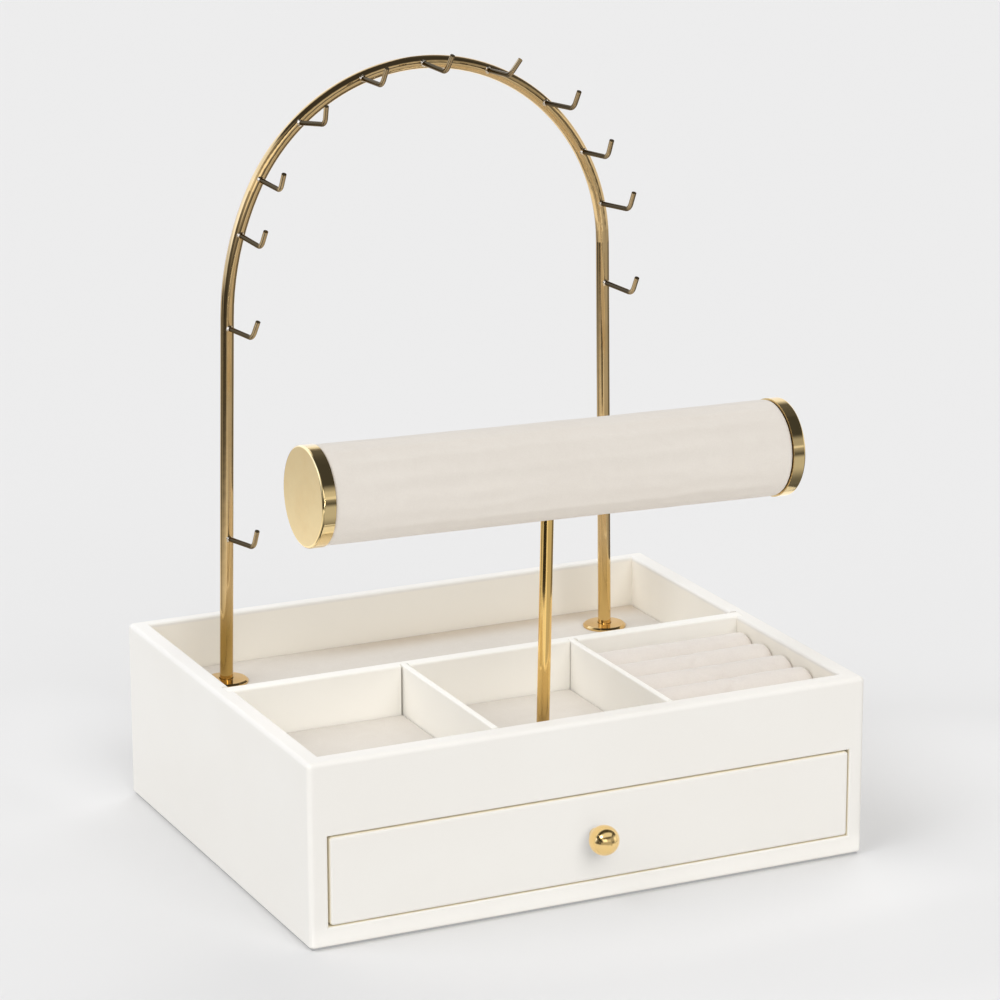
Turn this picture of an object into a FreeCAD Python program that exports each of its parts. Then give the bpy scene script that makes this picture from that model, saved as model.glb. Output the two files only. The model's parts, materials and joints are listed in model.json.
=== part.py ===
import FreeCAD, Part
import os, math
import Sketcher

# Jewelry stand with drawer.  All lengths are millimetres, +Z is up, the drawer
# front faces -Y and the origin is the bottom centre of the bounding box.

doc = FreeCAD.newDocument("jewelry_stand")
V = FreeCAD.Vector

# ------------------------------------------------------------------ dimensions
sheet = doc.addObject("Spreadsheet::Sheet", "Dims")
DIMS = [
    # case
    ("case_width", 260.0), ("case_depth", 210.7), ("case_height", 80.0),
    ("foot_height", 1.2), ("foot_dia", 12.0), ("foot_inset", 20.0),
    ("knob_reach", 14.7),
    ("side_thick", 8.2), ("front_thick", 9.1), ("back_thick", 6.4), ("bottom_thick", 8.8),
    ("mitre_run", 12.0), ("corner_round", 2.4), ("rim_round", 2.0), ("inner_round", 1.2), ("base_round", 1.2),
    ("opening_low", 9.6), ("opening_high", 49.2), ("opening_wide", 1.0), ("opening_round", 0.9), ("opening_corner", 2.0),
    # tray
    ("tray_top", 56.7), ("tray_thick", 5.0),
    ("rear_liner_thick", 1.0), ("front_liner_thick", 2.4), ("liner_clear", 0.3),
    # dividers
    ("divider_front", 2.6), ("divider_thick", 6.4), ("divider_tongue", 3.1), ("divider_slot_gap", 0.9),
    ("short_thick", 3.0), ("short_left_pos", -43.3), ("short_right_pos", 38.0), ("short_tongue", 2.4),
    ("short_gap", 0.3), ("short_slack", 0.9), ("divider_round", 0.9), ("short_round", 0.7),
    # ring cushion
    ("roll_count", 5.0), ("roll_clear", 0.25), ("roll_valley", 72.7), ("roll_top", 76.2), ("roll_base", 58.2),
    # hanging arch
    ("rod_dia", 6.0), ("arch_depth_pos", 81.7), ("arch_centre", 3.15), ("arch_level", 240.75), ("arch_radius", 89.7),
    ("shoulder_centre", 42.57), ("shoulder_radius", 133.4), ("foot_left", -94.95), ("foot_right", 94.95), ("flange_dia", 20.0), ("flange_thick", 1.8), ("flange_bore", 6.6),
    ("rod_bore", 3.4), ("rod_bore_depth", 12.0),
    # hooks
    ("wire_dia", 2.2), ("hook_reach", 26.5), ("hook_lead", 4.35), ("hook_rise", 8.0), ("hook_bend", 5.2),
    # bracelet bar
    ("post_dia", 5.6), ("post_pos", -3.5), ("post_depth_pos", -54.3), ("bar_level", 121.45), ("bar_lean", 1.2),
    ("bar_shift", 0.4), ("sleeve_length", 211.8), ("sleeve_dia", 42.4), ("core_dia", 36.0), ("post_socket", 12.0),
    ("cap_dia", 42.7), ("cap_length", 5.9), ("cap_face", 1.9), ("cap_round", 1.1),
    # drawer
    ("drawer_gap_left", 0.95), ("drawer_gap_right", 0.45), ("drawer_gap_low", 0.45), ("drawer_gap_high", 0.75),
    ("drawer_round", 1.5), ("drawer_side_thick", 6.0), ("drawer_side_clear", 1.2), ("drawer_lift", 0.3),
    ("drawer_height", 35.0), ("drawer_back_clear", 2.4), ("drawer_ply", 3.0), ("drawer_groove", 3.0), ("drawer_ply_low", 13.4),
    ("drawer_liner_thick", 1.0),
    # knob
    ("knob_dia", 13.0), ("knob_level", 30.6), ("knob_stem_dia", 4.6), ("knob_base_dia", 5.8), ("knob_base_thick", 1.1),
    # screws
    ("screw_dia", 3.0), ("screw_head_dia", 7.0), ("screw_head_thick", 2.0), ("screw_grip", 10.0),
]
for i, (name, value) in enumerate(DIMS):
    row = i + 1
    sheet.set("A%d" % row, name)
    sheet.set("B%d" % row, repr(float(value)))
    sheet.setAlias("B%d" % row, name)

# hooks: place on the rod (x, z), sideways fan, rise and twist in degrees, and where the wire starts off the rod's axis
HOOKS = [
    (-93.28, 124.5, 5.2, 5.0, 0.2, 3.01),
    (-90.92, 220.1, 2.6, 1.6, 6.7, 2.99),
    (-84.87, 261.3, 0.2, -1.9, 3.3, 2.99),
    (-74.93, 284.9, -1.0, -0.9, 0.5, 2.99),
    (-56.10, 308.1, 5.1, 7.3, -6.4, 3.07),
    (-26.00, 325.6, -3.2, 1.5, 6.3, 2.99),
    (3.00, 330.4, 0.2, -1.1, 7.5, 2.99),
    (34.47, 324.8, -3.3, 3.2, 25.0, 2.99),
    (62.46, 308.0, 4.9, 2.4, 3.6, 2.99),
    (81.60, 284.2, 0.4, 3.6, 0.5, 2.99),
    (90.84, 259.6, 4.5, 3.5, 0.2, 2.99),
    (93.06, 222.9, 3.2, -0.6, -0.8, 2.99),
    (94.16, 124.5, -2.0, 5.0, -0.5, 3.01),
]
row = len(DIMS) + 1
for i, h in enumerate(HOOKS):
    for key, value in zip(("across", "level", "fan", "rise", "twist", "root"), h):
        alias = "hook%s_%s" % (chr(ord("a") + i), key)
        sheet.set("A%d" % row, alias)
        sheet.set("B%d" % row, repr(float(value)))
        sheet.setAlias("B%d" % row, alias)
        row += 1
doc.recompute()


def D(expr):
    """Spell a sheet formula: every bare word becomes a cell of the sheet."""
    out, word = "", ""
    for ch in expr + " ":
        if ch.isalpha() or ch == "_" or (word and ch.isdigit()):
            word += ch
            continue
        if word:
            out += word if word in ("cos", "sin", "deg") else "Dims." + word
            word = ""
        out += ch
    return out.strip()


def num(expr):
    """Present value of a sheet formula (used only to pick edges and to start sketches)."""
    env = {}
    text, word = "", ""
    total = expr + " "
    for ch in total:
        if ch.isalpha() or ch == "_" or (word and ch.isdigit()):
            word += ch
            continue
        if word:
            text += repr(float(sheet.get(word)))
            word = ""
        text += ch
    return arith(text.strip())


def arith(text):
    """Plain + - * / ( ) arithmetic."""
    pos = [0]
    s = text.replace(" ", "")

    def factor():
        if s[pos[0]] == "-":
            pos[0] += 1
            return -factor()
        if s[pos[0]] == "+":
            pos[0] += 1
            return factor()
        if s[pos[0]] == "(":
            pos[0] += 1
            v = total()
            pos[0] += 1
            return v
        j = pos[0]
        while j < len(s) and (s[j].isdigit() or s[j] in ".e" or (s[j] in "+-" and s[j - 1] == "e")):
            j += 1
        v = float(s[pos[0]:j])
        pos[0] = j
        return v

    def term():
        v = factor()
        while pos[0] < len(s) and s[pos[0]] in "*/":
            op = s[pos[0]]
            pos[0] += 1
            w = factor()
            v = v * w if op == "*" else v / w
        return v

    def total():
        v = term()
        while pos[0] < len(s) and s[pos[0]] in "+-":
            op = s[pos[0]]
            pos[0] += 1
            w = term()
            v = v + w if op == "+" else v - w
        return v

    return total()


# common places
XW = "(case_width/2)"
XI = "(case_width/2-side_thick)"
YF = "((knob_reach-case_depth)/2)"
YB = "((knob_reach+case_depth)/2)"
YFI = "(" + YF + "+front_thick)"
YBI = "(" + YB + "-back_thick)"
ZB = "foot_height"
ZT = "(foot_height+case_height)"
DIV1 = "(divider_front+divider_thick)"
DRW0 = "(-(case_width/2-side_thick)+drawer_gap_left)"
DRW1 = "(case_width/2-side_thick+opening_wide-drawer_gap_right)"
DSX = "(case_width/2-side_thick-drawer_side_clear)"
DZ0 = "(foot_height+bottom_thick+drawer_lift)"
DZ1 = "(foot_height+bottom_thick+drawer_lift+drawer_height)"
DYB = "(" + YBI + "-drawer_back_clear)"

NODES = []


def node(obj, label):
    obj.Label = label
    NODES.append(obj)
    return obj


def bind(obj, prop, expr):
    obj.setExpression(prop, D(expr))


def block(body, x0, x1, y0, y1, z0, z1, cut=False, tag="block"):
    """Box feature of a body between six sheet formulas."""
    kind = "PartDesign::SubtractiveBox" if cut else "PartDesign::AdditiveBox"
    f = body.newObject(kind, body.Name + "_" + tag)
    bind(f, "Length", "(%s)-(%s)" % (x1, x0))
    bind(f, "Width", "(%s)-(%s)" % (y1, y0))
    bind(f, "Height", "(%s)-(%s)" % (z1, z0))
    bind(f, "Placement.Base.x", x0)
    bind(f, "Placement.Base.y", y0)
    bind(f, "Placement.Base.z", z0)
    return f


def drill(body, dia, x, y, z0, z1, axis="z", cut=True, tag="hole"):
    """Cylinder feature of a body, from z0 to z1 along the axis."""
    kind = "PartDesign::SubtractiveCylinder" if cut else "PartDesign::AdditiveCylinder"
    f = body.newObject(kind, body.Name + "_" + tag)
    bind(f, "Radius", "(%s)/2" % dia)
    bind(f, "Height", "(%s)-(%s)" % (z1, z0))
    if axis == "z":
        bind(f, "Placement.Base.x", x)
        bind(f, "Placement.Base.y", y)
        bind(f, "Placement.Base.z", z0)
    elif axis == "x":      # x, y hold the y and z place
        f.Placement = FreeCAD.Placement(V(0, 0, 0), FreeCAD.Rotation(V(0, 1, 0), 90))
        bind(f, "Placement.Base.x", z0)
        bind(f, "Placement.Base.y", x)
        bind(f, "Placement.Base.z", y)
    elif axis == "y":      # x, y hold the x and z place
        f.Placement = FreeCAD.Placement(V(0, 0, 0), FreeCAD.Rotation(V(1, 0, 0), -90))
        bind(f, "Placement.Base.x", x)
        bind(f, "Placement.Base.y", z0)
        bind(f, "Placement.Base.z", y)
    return f


def new_body(name):
    return doc.addObject("PartDesign::Body", name)


def edges_where(feature, test):
    """Names of the edges whose points all satisfy the test."""
    doc.recompute()
    names = []
    for i, e in enumerate(feature.Shape.Edges):
        pts = [e.valueAt(e.FirstParameter + (e.LastParameter - e.FirstParameter) * t) for t in (0.0, 0.5, 1.0)]
        if all(test(p) for p in pts):
            names.append("Edge%d" % (i + 1))
    return names


def roundoff(body, test, radius, tag="round"):
    base = body.Tip
    names = edges_where(base, test)
    if not names:
        raise RuntimeError("no edge to round on " + body.Name + " " + tag)
    f = body.newObject("PartDesign::Fillet", body.Name + "_" + tag)
    f.Base = (base, names)
    bind(f, "Radius", radius)
    doc.recompute()
    return f


def near(a, b, tol=0.02):
    return abs(a - b) < tol


def plane_of(body, role):
    for f in body.Origin.OriginFeatures:
        if f.Role == role:
            return f
    raise RuntimeError(role)


def profile(body, plane, points, tag="profile", closed=True):
    """Closed polygon sketch on an origin plane; every corner is held by the sheet."""
    sk = body.newObject("Sketcher::SketchObject", body.Name + "_" + tag) if body else \
        doc.addObject("Sketcher::SketchObject", tag)
    if body:
        sk.AttachmentSupport = (plane_of(body, plane), [""])
        sk.MapMode = "FlatFace"
    n = len(points)
    co = [(num(a), num(b)) for a, b in points]
    for i in range(n):
        p, q = co[i], co[(i + 1) % n]
        sk.addGeometry(Part.LineSegment(V(p[0], p[1], 0), V(q[0], q[1], 0)), False)
    for i in range(n):
        sk.addConstraint(Sketcher.Constraint("Coincident", i, 2, (i + 1) % n, 1))
    for i in range(n):
        hold(sk, i, 1, points[i][0], points[i][1])
    return sk


def hold(sk, geo, point, ex, ey):
    """Pin one sketch point at two sheet formulas."""
    for kind, ex_ in (("DistanceX", ex), ("DistanceY", ey)):
        v = num(ex_)
        c = sk.addConstraint(Sketcher.Constraint(kind, -1, 1, geo, point, v))
        sk.setExpression("Constraints[%d]" % c, D(ex_))


# ------------------------------------------------------------------ case shell
shell = new_body("case_shell")
block(shell, "-" + XW, XW, YF, YB, ZB, ZT)
xw, yf, yb, zb, zt = num(XW), num(YF), num(YB), num(ZB), num(ZT)
xi, yfi, ybi = num(XI), num(YFI), num(YBI)
roundoff(shell, lambda p: near(abs(p.x), xw) and (near(p.y, yf) or near(p.y, yb)), "corner_round", "corners")
roundoff(shell, lambda p: near(p.z, zt), "rim_round", "rim")
roundoff(shell, lambda p: near(p.z, zb), "base_round", "base")
block(shell, "-" + XI, XI, YFI, YBI, ZB + "-5", ZT + "+5", cut=True, tag="well")
roundoff(shell, lambda p: near(p.z, zt) and (near(abs(p.x), xi) or near(p.y, yfi) or near(p.y, ybi)) and abs(p.x) < xi + 0.1 and yfi - 0.1 < p.y < ybi + 0.1,
         "inner_round", "lip")
# the opening is let a little into the right-hand board
block(shell, "-" + XI, XI + "+opening_wide", YF + "-5", YFI + "+0.3", "opening_low", "opening_high", cut=True, tag="opening")
ol, oh = num("opening_low"), num("opening_high")
roundoff(shell, lambda p: near(p.y, yf) and ol - 0.1 < p.z < oh + 0.1 and abs(p.x) < xi + num("opening_wide") + 0.1, "opening_round", "opening_edge")
# slots for the ends of the long divider
block(shell, "-" + XI + "-divider_tongue-0.1", "-" + XI + "+0.5", "divider_front-0.05", DIV1 + "+divider_slot_gap", "tray_top", ZT + "+5", cut=True, tag="slot_left")
block(shell, XI + "-0.5", XI + "+divider_tongue+0.1", "divider_front-0.05", DIV1 + "+divider_slot_gap", "tray_top", ZT + "+5", cut=True, tag="slot_right")
doc.recompute()


def quarter(label, pts):
    """One mitred panel: the shell inside a four-cornered prism."""
    sk = profile(None, None, pts, tag=label + "_mitre")
    ex = doc.addObject("Part::Extrusion", label + "_prism")
    ex.Base = sk
    ex.DirMode = "Custom"
    ex.Dir = V(0, 0, 1)
    bind(ex, "LengthFwd", ZT + "+10")
    ex.Solid = True
    com = doc.addObject("Part::Common", label)
    com.Base = shell
    com.Tool = ex
    return node(com, label)


XO = "(case_width/2-side_thick+mitre_run)"
YFO = "(" + YFI + "-mitre_run)"
YBO = "(" + YBI + "+mitre_run)"
quarter("front_panel", [("-" + XO, YFO), (XO, YFO), (XI, YFI), ("-" + XI, YFI)])
quarter("back_panel", [("-" + XI, YBI), (XI, YBI), (XO, YBO), ("-" + XO, YBO)])
quarter("left_side_panel", [("-" + XO, YFO), ("-" + XI, YFI), ("-" + XI, YBI), ("-" + XO, YBO)])
quarter("right_side_panel", [(XI, YFI), (XO, YFO), (XO, YBO), (XI, YBI)])

# bottom board
b = node(new_body("bottom_panel"), "bottom_panel")
block(b, "-" + XI, XI, YFI, YBI, ZB, ZB + "+bottom_thick")

# four pads under the bottom board
pads = []
for k, (sx, ye) in enumerate((("-", YFI + "+foot_inset"), ("", YFI + "+foot_inset"), ("-", YBI + "-foot_inset"), ("", YBI + "-foot_inset"))):
    c = doc.addObject("Part::Cylinder", "pad_%d" % (k + 1))
    bind(c, "Radius", "foot_dia/2")
    bind(c, "Height", "foot_height")
    bind(c, "Placement.Base.x", sx + "(" + XI + "-foot_inset)")
    bind(c, "Placement.Base.y", ye)
    pads.append(c)
comp = doc.addObject("Part::Compound", "foot_pads")
comp.Links = pads
node(comp, "foot_pads")

# compartment floor board, drilled for the three screws
b = node(new_body("tray_floor"), "tray_floor")
block(b, "-" + XI, XI, YFI, YBI, "tray_top-tray_thick", "tray_top")
drill(b, "screw_dia+0.4", "foot_left", "arch_depth_pos", "tray_top-tray_thick-1", "tray_top+1", tag="hole_left")
drill(b, "screw_dia+0.4", "foot_right", "arch_depth_pos", "tray_top-tray_thick-1", "tray_top+1", tag="hole_right")
drill(b, "screw_dia+0.4", "post_pos", "post_depth_pos", "tray_top-tray_thick-1", "tray_top+1", tag="hole_post")

# long divider with two slots for the short ones
b = node(new_body("long_divider"), "long_divider")
block(b, "-" + XI + "-divider_tongue", XI + "+divider_tongue", "divider_front", DIV1, "tray_top", ZT)
y0, y1 = num("divider_front"), num(DIV1)
roundoff(b, lambda p: near(p.z, zt) and (near(p.y, y0) or near(p.y, y1)), "divider_round", "top")
block(b, "short_left_pos-short_slack", "short_left_pos+short_thick+short_gap", "divider_front-1", "divider_front+short_tongue+0.1", "tray_top-1", ZT + "+1", cut=True, tag="slot_left")
block(b, "short_right_pos-short_gap", "short_right_pos+short_thick+short_slack", "divider_front-1", "divider_front+short_tongue+0.1", "tray_top-1", ZT + "+1", cut=True, tag="slot_right")

for label, pos in (("short_divider_left", "short_left_pos"), ("short_divider_right", "short_right_pos")):
    b = node(new_body(label), label)
    block(b, pos, pos + "+short_thick", YFI, "divider_front+short_tongue", "tray_top", ZT)
    xa, xb = num(pos), num(pos + "+short_thick")
    roundoff(b, lambda p: near(p.z, zt) and (near(p.x, xa) or near(p.x, xb)), "short_round", "top")

# liners
b = node(new_body("rear_floor_liner"), "rear_floor_liner")
block(b, "-" + XI + "+liner_clear", XI + "-liner_clear", DIV1 + "+liner_clear", YBI + "-liner_clear", "tray_top", "tray_top+rear_liner_thick")
drill(b, "rod_dia+1", "foot_left", "arch_depth_pos", "tray_top-1", "tray_top+rear_liner_thick+1", tag="hole_left")
drill(b, "rod_dia+1", "foot_right", "arch_depth_pos", "tray_top-1", "tray_top+rear_liner_thick+1", tag="hole_right")
b = node(new_body("left_compartment_liner"), "left_compartment_liner")
block(b, "-" + XI + "+liner_clear", "short_left_pos-liner_clear", YFI + "+liner_clear", "divider_front-liner_clear", "tray_top", "tray_top+front_liner_thick")
b = node(new_body("middle_compartment_liner"), "middle_compartment_liner")
block(b, "short_left_pos+short_thick+liner_clear", "short_right_pos-liner_clear", YFI + "+liner_clear", "divider_front-liner_clear", "tray_top", "tray_top+front_liner_thick")
drill(b, "post_dia+1", "post_pos", "post_depth_pos", "tray_top-1", "tray_top+front_liner_thick+1", tag="hole_post")

# ring cushion: card base and five soft rolls with arched tops
RX0 = "(short_right_pos+short_thick+roll_clear)"
RX1 = "(" + XI + "-roll_clear)"
b = node(new_body("ring_cushion_card"), "ring_cushion_card")
block(b, RX0, RX1, YFI + "+roll_clear", "divider_front-roll_clear", "tray_top", "roll_base-0.1")
PITCH = "((divider_front-" + YFI + ")/roll_count)"
for k in range(5):
    label = "ring_roll_%d" % (k + 1)
    b = node(new_body(label), label)
    ya = "(" + "divider_front-%d*%s+roll_clear/2)" % (k + 1, PITCH)
    yb_ = "(" + "divider_front-%d*%s-roll_clear/2)" % (k, PITCH)
    sk = b.newObject("Sketcher::SketchObject", label + "_section")
    sk.AttachmentSupport = (plane_of(b, "YZ_Plane"), [""])
    sk.MapMode = "FlatFace"
    a0, a1, zb0, zv, ztp = num(ya), num(yb_), num("roll_base"), num("roll_valley"), num("roll_top")
    sag, half = ztp - zv, (a1 - a0) / 2
    rad = (half * half + sag * sag) / (2 * sag)
    cz = ztp - rad
    ang = math.asin(half / rad)
    ym = (a0 + a1) / 2
    sk.addGeometry(Part.LineSegment(V(a0, zv, 0), V(a0, zb0, 0)), False)
    sk.addGeometry(Part.LineSegment(V(a0, zb0, 0), V(a1, zb0, 0)), False)
    sk.addGeometry(Part.LineSegment(V(a1, zb0, 0), V(a1, zv, 0)), False)
    sk.addGeometry(Part.ArcOfCircle(Part.Circle(V(ym, cz, 0), V(0, 0, 1), rad), math.pi / 2 - ang, math.pi / 2 + ang), False)
    sk.addConstraint(Sketcher.Constraint("Coincident", 0, 2, 1, 1))
    sk.addConstraint(Sketcher.Constraint("Coincident", 1, 2, 2, 1))
    sk.addConstraint(Sketcher.Constraint("Coincident", 2, 2, 3, 1))
    sk.addConstraint(Sketcher.Constraint("Coincident", 3, 2, 0, 1))
    hold(sk, 0, 1, ya, "roll_valley")
    hold(sk, 1, 1, ya, "roll_base")
    hold(sk, 1, 2, yb_, "roll_base")
    hold(sk, 2, 2, yb_, "roll_valley")
    c = sk.addConstraint(Sketcher.Constraint("Radius", 3, rad))
    half_e = "((%s)-(%s))/2" % (yb_, ya)
    sag_e = "(roll_top-roll_valley)"
    sk.setExpression("Constraints[%d]" % c, D("((%s)*(%s)+%s*%s)/(2*%s)" % (half_e, half_e, sag_e, sag_e, sag_e)))
    pad = b.newObject("PartDesign::Pad", label + "_length")
    pad.Profile = sk
    bind(pad, "Length", RX1 + "-" + RX0)
    doc.recompute()
    bind(b, "Placement.Base.x", RX0)
    doc.recompute()
    if b.Shape.BoundBox.XMin < num(RX0) - 0.1:      # the pad must grow toward +X
        pad.Reversed = True
        doc.recompute()
    xa, xb = num(RX0), num(RX1)

# ------------------------------------------------------------------ arch
b = node(new_body("arch_rod"), "arch_rod")
path = b.newObject("Sketcher::SketchObject", "arch_path")
path.AttachmentSupport = (plane_of(b, "XZ_Plane"), [""])
path.MapMode = "FlatFace"
cx, cz, R = num("arch_centre"), num("arch_level"), num("arch_radius")
fl, fr, fz = num("foot_left"), num("foot_right"), num("tray_top") + 0.05


def touch(ox, oz, rad, fx, side):
    """Angle on a circle where a straight leg from the foot touches it."""
    dx, dz = fx - ox, fz - oz
    return math.atan2(dz, dx) + math.acos(rad / math.hypot(dx, dz)) * side


# the left shoulder is a little flatter than the rest of the arch
R1, sx = num("shoulder_radius"), num("shoulder_centre")
join = math.pi - math.acos((sx - cx) / (R1 - R))
ox, oz = cx - (R1 - R) * math.cos(join), cz - (R1 - R) * math.sin(join)
aR = touch(cx, cz, R, fr, 1)
aL = touch(ox, oz, R1, fl, -1) % (2 * math.pi)
tr = V(cx + R * math.cos(aR), cz + R * math.sin(aR), 0)
tl = V(ox + R1 * math.cos(aL), oz + R1 * math.sin(aL), 0)
path.addGeometry(Part.LineSegment(V(fl, fz, 0), tl), False)
path.addGeometry(Part.ArcOfCircle(Part.Circle(V(ox, oz, 0), V(0, 0, 1), R1), join, aL), False)
path.addGeometry(Part.ArcOfCircle(Part.Circle(V(cx, cz, 0), V(0, 0, 1), R), aR, join), False)
path.addGeometry(Part.LineSegment(tr, V(fr, fz, 0)), False)
path.addConstraint(Sketcher.Constraint("Tangent", 0, 2, 1, 2))
path.addConstraint(Sketcher.Constraint("Tangent", 1, 1, 2, 2))
path.addConstraint(Sketcher.Constraint("Tangent", 2, 1, 3, 1))
hold(path, 0, 1, "foot_left", "tray_top+0.05")
hold(path, 3, 2, "foot_right", "tray_top+0.05")
hold(path, 2, 3, "arch_centre", "arch_level")
c = path.addConstraint(Sketcher.Constraint("Radius", 2, R))
path.setExpression("Constraints[%d]" % c, D("arch_radius"))
c = path.addConstraint(Sketcher.Constraint("Radius", 1, R1))
path.setExpression("Constraints[%d]" % c, D("shoulder_radius"))
c = path.addConstraint(Sketcher.Constraint("DistanceX", -1, 1, 1, 3, sx))
path.setExpression("Constraints[%d]" % c, D("shoulder_centre"))
sect = b.newObject("Sketcher::SketchObject", "arch_section")
sect.AttachmentSupport = (plane_of(b, "XY_Plane"), [""])
sect.MapMode = "FlatFace"
sect.setExpression("AttachmentOffset.Base.z", D("tray_top+0.05"))
sect.addGeometry(Part.Circle(V(fl, 0, 0), V(0, 0, 1), num("rod_dia/2")), False)
c = sect.addConstraint(Sketcher.Constraint("Radius", 0, num("rod_dia/2")))
sect.setExpression("Constraints[%d]" % c, D("rod_dia/2"))
hold(sect, 0, 3, "foot_left", "0")
doc.recompute()
pipe = b.newObject("PartDesign::AdditivePipe", "arch_pipe")
pipe.Profile = sect
pipe.Spine = (path, ["Edge1", "Edge2", "Edge3", "Edge4"])
doc.recompute()
drill(b, "rod_bore", "foot_left", "0", "tray_top-1", "tray_top+rod_bore_depth", tag="bore_left")
drill(b, "rod_bore", "foot_right", "0", "tray_top-1", "tray_top+rod_bore_depth", tag="bore_right")
bind(b, "Placement.Base.y", "arch_depth_pos")
doc.recompute()


def flange(label, x, y, z, bore):
    """Low domed disc turned about the upright."""
    b = node(new_body(label), label)
    sk = profile(b, "XZ_Plane", [(bore + "/2", "0"), ("flange_dia/2", "0"), ("flange_dia/2", "flange_thick*0.45"), ("flange_dia/2-0.9", "flange_thick*0.85"),
                                 (bore + "/2+1.2", "flange_thick"), (bore + "/2", "flange_thick")])
    rev = b.newObject("PartDesign::Revolution", label + "_turn")
    rev.Profile = sk
    rev.ReferenceAxis = (sk, ["V_Axis"])
    rev.Angle = 360.0
    doc.recompute()
    r = num("flange_dia/2")
    roundoff(b, lambda p: near(p.z, num("flange_thick*0.85"), 0.05) and near(math.hypot(p.x, p.y), r - 0.9, 0.05), "flange_thick*0.3", "soften")
    bind(b, "Placement.Base.x", x)
    bind(b, "Placement.Base.y", y)
    bind(b, "Placement.Base.z", z)
    return b


flange("arch_flange_left", "foot_left", "arch_depth_pos", "tray_top+rear_liner_thick", "flange_bore")
flange("arch_flange_right", "foot_right", "arch_depth_pos", "tray_top+rear_liner_thick", "flange_bore")
flange("post_flange", "post_pos", "post_depth_pos", "tray_top+front_liner_thick", "(post_dia+0.7)")


def floor_screw(label, places):
    """Pan head screws driven up through the floor board; one solid each."""
    links = []
    for k, (x, y) in enumerate(places):
        s = new_body("%s_%d" % (label, k + 1))
        drill(s, "screw_dia", x, y, "tray_top-tray_thick-0.5", "tray_top+screw_grip", cut=False, tag="shank")
        drill(s, "screw_head_dia", x, y, "tray_top-tray_thick-0.05-screw_head_thick", "tray_top-tray_thick-0.05", cut=False, tag="head")
        doc.recompute()
        zl = num("tray_top-tray_thick-0.05-screw_head_thick")
        roundoff(s, lambda p: near(p.z, zl), "screw_head_thick*0.45", "dome")
        links.append(s)
    if len(links) == 1:
        return node(links[0], label)
    c = doc.addObject("Part::Compound", label)
    c.Links = links
    return node(c, label)


floor_screw("arch_screws", [("foot_left", "arch_depth_pos"), ("foot_right", "arch_depth_pos")])
floor_screw("post_screw", [("post_pos", "post_depth_pos")])

# ------------------------------------------------------------------ hooks
lead, rise = num("hook_lead"), num("hook_rise")
for i, h in enumerate(HOOKS):
    key = "hook" + chr(ord("a") + i)
    label = "hook_%02d" % (i + 1)
    b = node(new_body(label), label)
    pa = b.newObject("Sketcher::SketchObject", label + "_path")
    pa.AttachmentSupport = (plane_of(b, "YZ_Plane"), [""])
    pa.MapMode = "FlatFace"
    L, r0 = num("hook_reach"), num("hook_bend")
    phi = math.atan2(rise, lead)
    t = r0 * math.tan(phi / 2)
    # arm runs toward -Y, the tip climbs forward and up
    ctr = V(-(L - t), r0, 0)
    end = V(-(L + t * math.cos(phi)), t * math.sin(phi), 0)
    pa.addGeometry(Part.LineSegment(V(-h[5], 0, 0), V(-(L - t), 0, 0)), False)
    pa.addGeometry(Part.ArcOfCircle(Part.Circle(ctr, V(0, 0, 1), r0), -math.pi / 2 - phi, -math.pi / 2), False)
    pa.addGeometry(Part.LineSegment(end, V(-(L + lead), rise, 0)), False)
    pa.addConstraint(Sketcher.Constraint("Tangent", 0, 2, 1, 2))
    pa.addConstraint(Sketcher.Constraint("Tangent", 1, 1, 2, 1))
    hold(pa, 0, 1, "-" + key + "_root", "0")
    c = pa.addConstraint(Sketcher.Constraint("Horizontal", 0))
    c = pa.addConstraint(Sketcher.Constraint("Radius", 1, r0))
    pa.setExpression("Constraints[%d]" % c, D("hook_bend"))
    hold(pa, 2, 2, "-hook_reach-hook_lead", "hook_rise")
    # the two straight runs, carried on, meet at the full reach
    pa.addGeometry(Part.Point(V(-L, 0, 0)), True)
    pa.addConstraint(Sketcher.Constraint("PointOnObject", 3, 1, 0))
    pa.addConstraint(Sketcher.Constraint("PointOnObject", 3, 1, 2))
    c = pa.addConstraint(Sketcher.Constraint("DistanceX", 3, 1, -1, 1, L))
    pa.setExpression("Constraints[%d]" % c, D("hook_reach"))
    se = b.newObject("Sketcher::SketchObject", label + "_section")
    se.AttachmentSupport = (plane_of(b, "XZ_Plane"), [""])
    se.MapMode = "FlatFace"
    se.setExpression("AttachmentOffset.Base.z", D(key + "_root"))
    se.addGeometry(Part.Circle(V(0, 0, 0), V(0, 0, 1), num("wire_dia/2")), False)
    c = se.addConstraint(Sketcher.Constraint("Radius", 0, num("wire_dia/2")))
    se.setExpression("Constraints[%d]" % c, D("wire_dia/2"))
    se.addConstraint(Sketcher.Constraint("Coincident", 0, 3, -1, 1))
    doc.recompute()
    pp = b.newObject("PartDesign::AdditivePipe", label + "_wire")
    pp.Profile = se
    pp.Spine = (pa, ["Edge1", "Edge2", "Edge3"])
    doc.recompute()
    rot = FreeCAD.Rotation(V(0, 0, 1), h[2]) * FreeCAD.Rotation(V(0, 1, 0), h[4]) * FreeCAD.Rotation(V(1, 0, 0), -h[3])
    b.Placement = FreeCAD.Placement(V(0, 0, 0), rot)
    bind(b, "Placement.Base.x", key + "_across")
    bind(b, "Placement.Base.y", "arch_depth_pos")
    bind(b, "Placement.Base.z", key + "_level")

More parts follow.
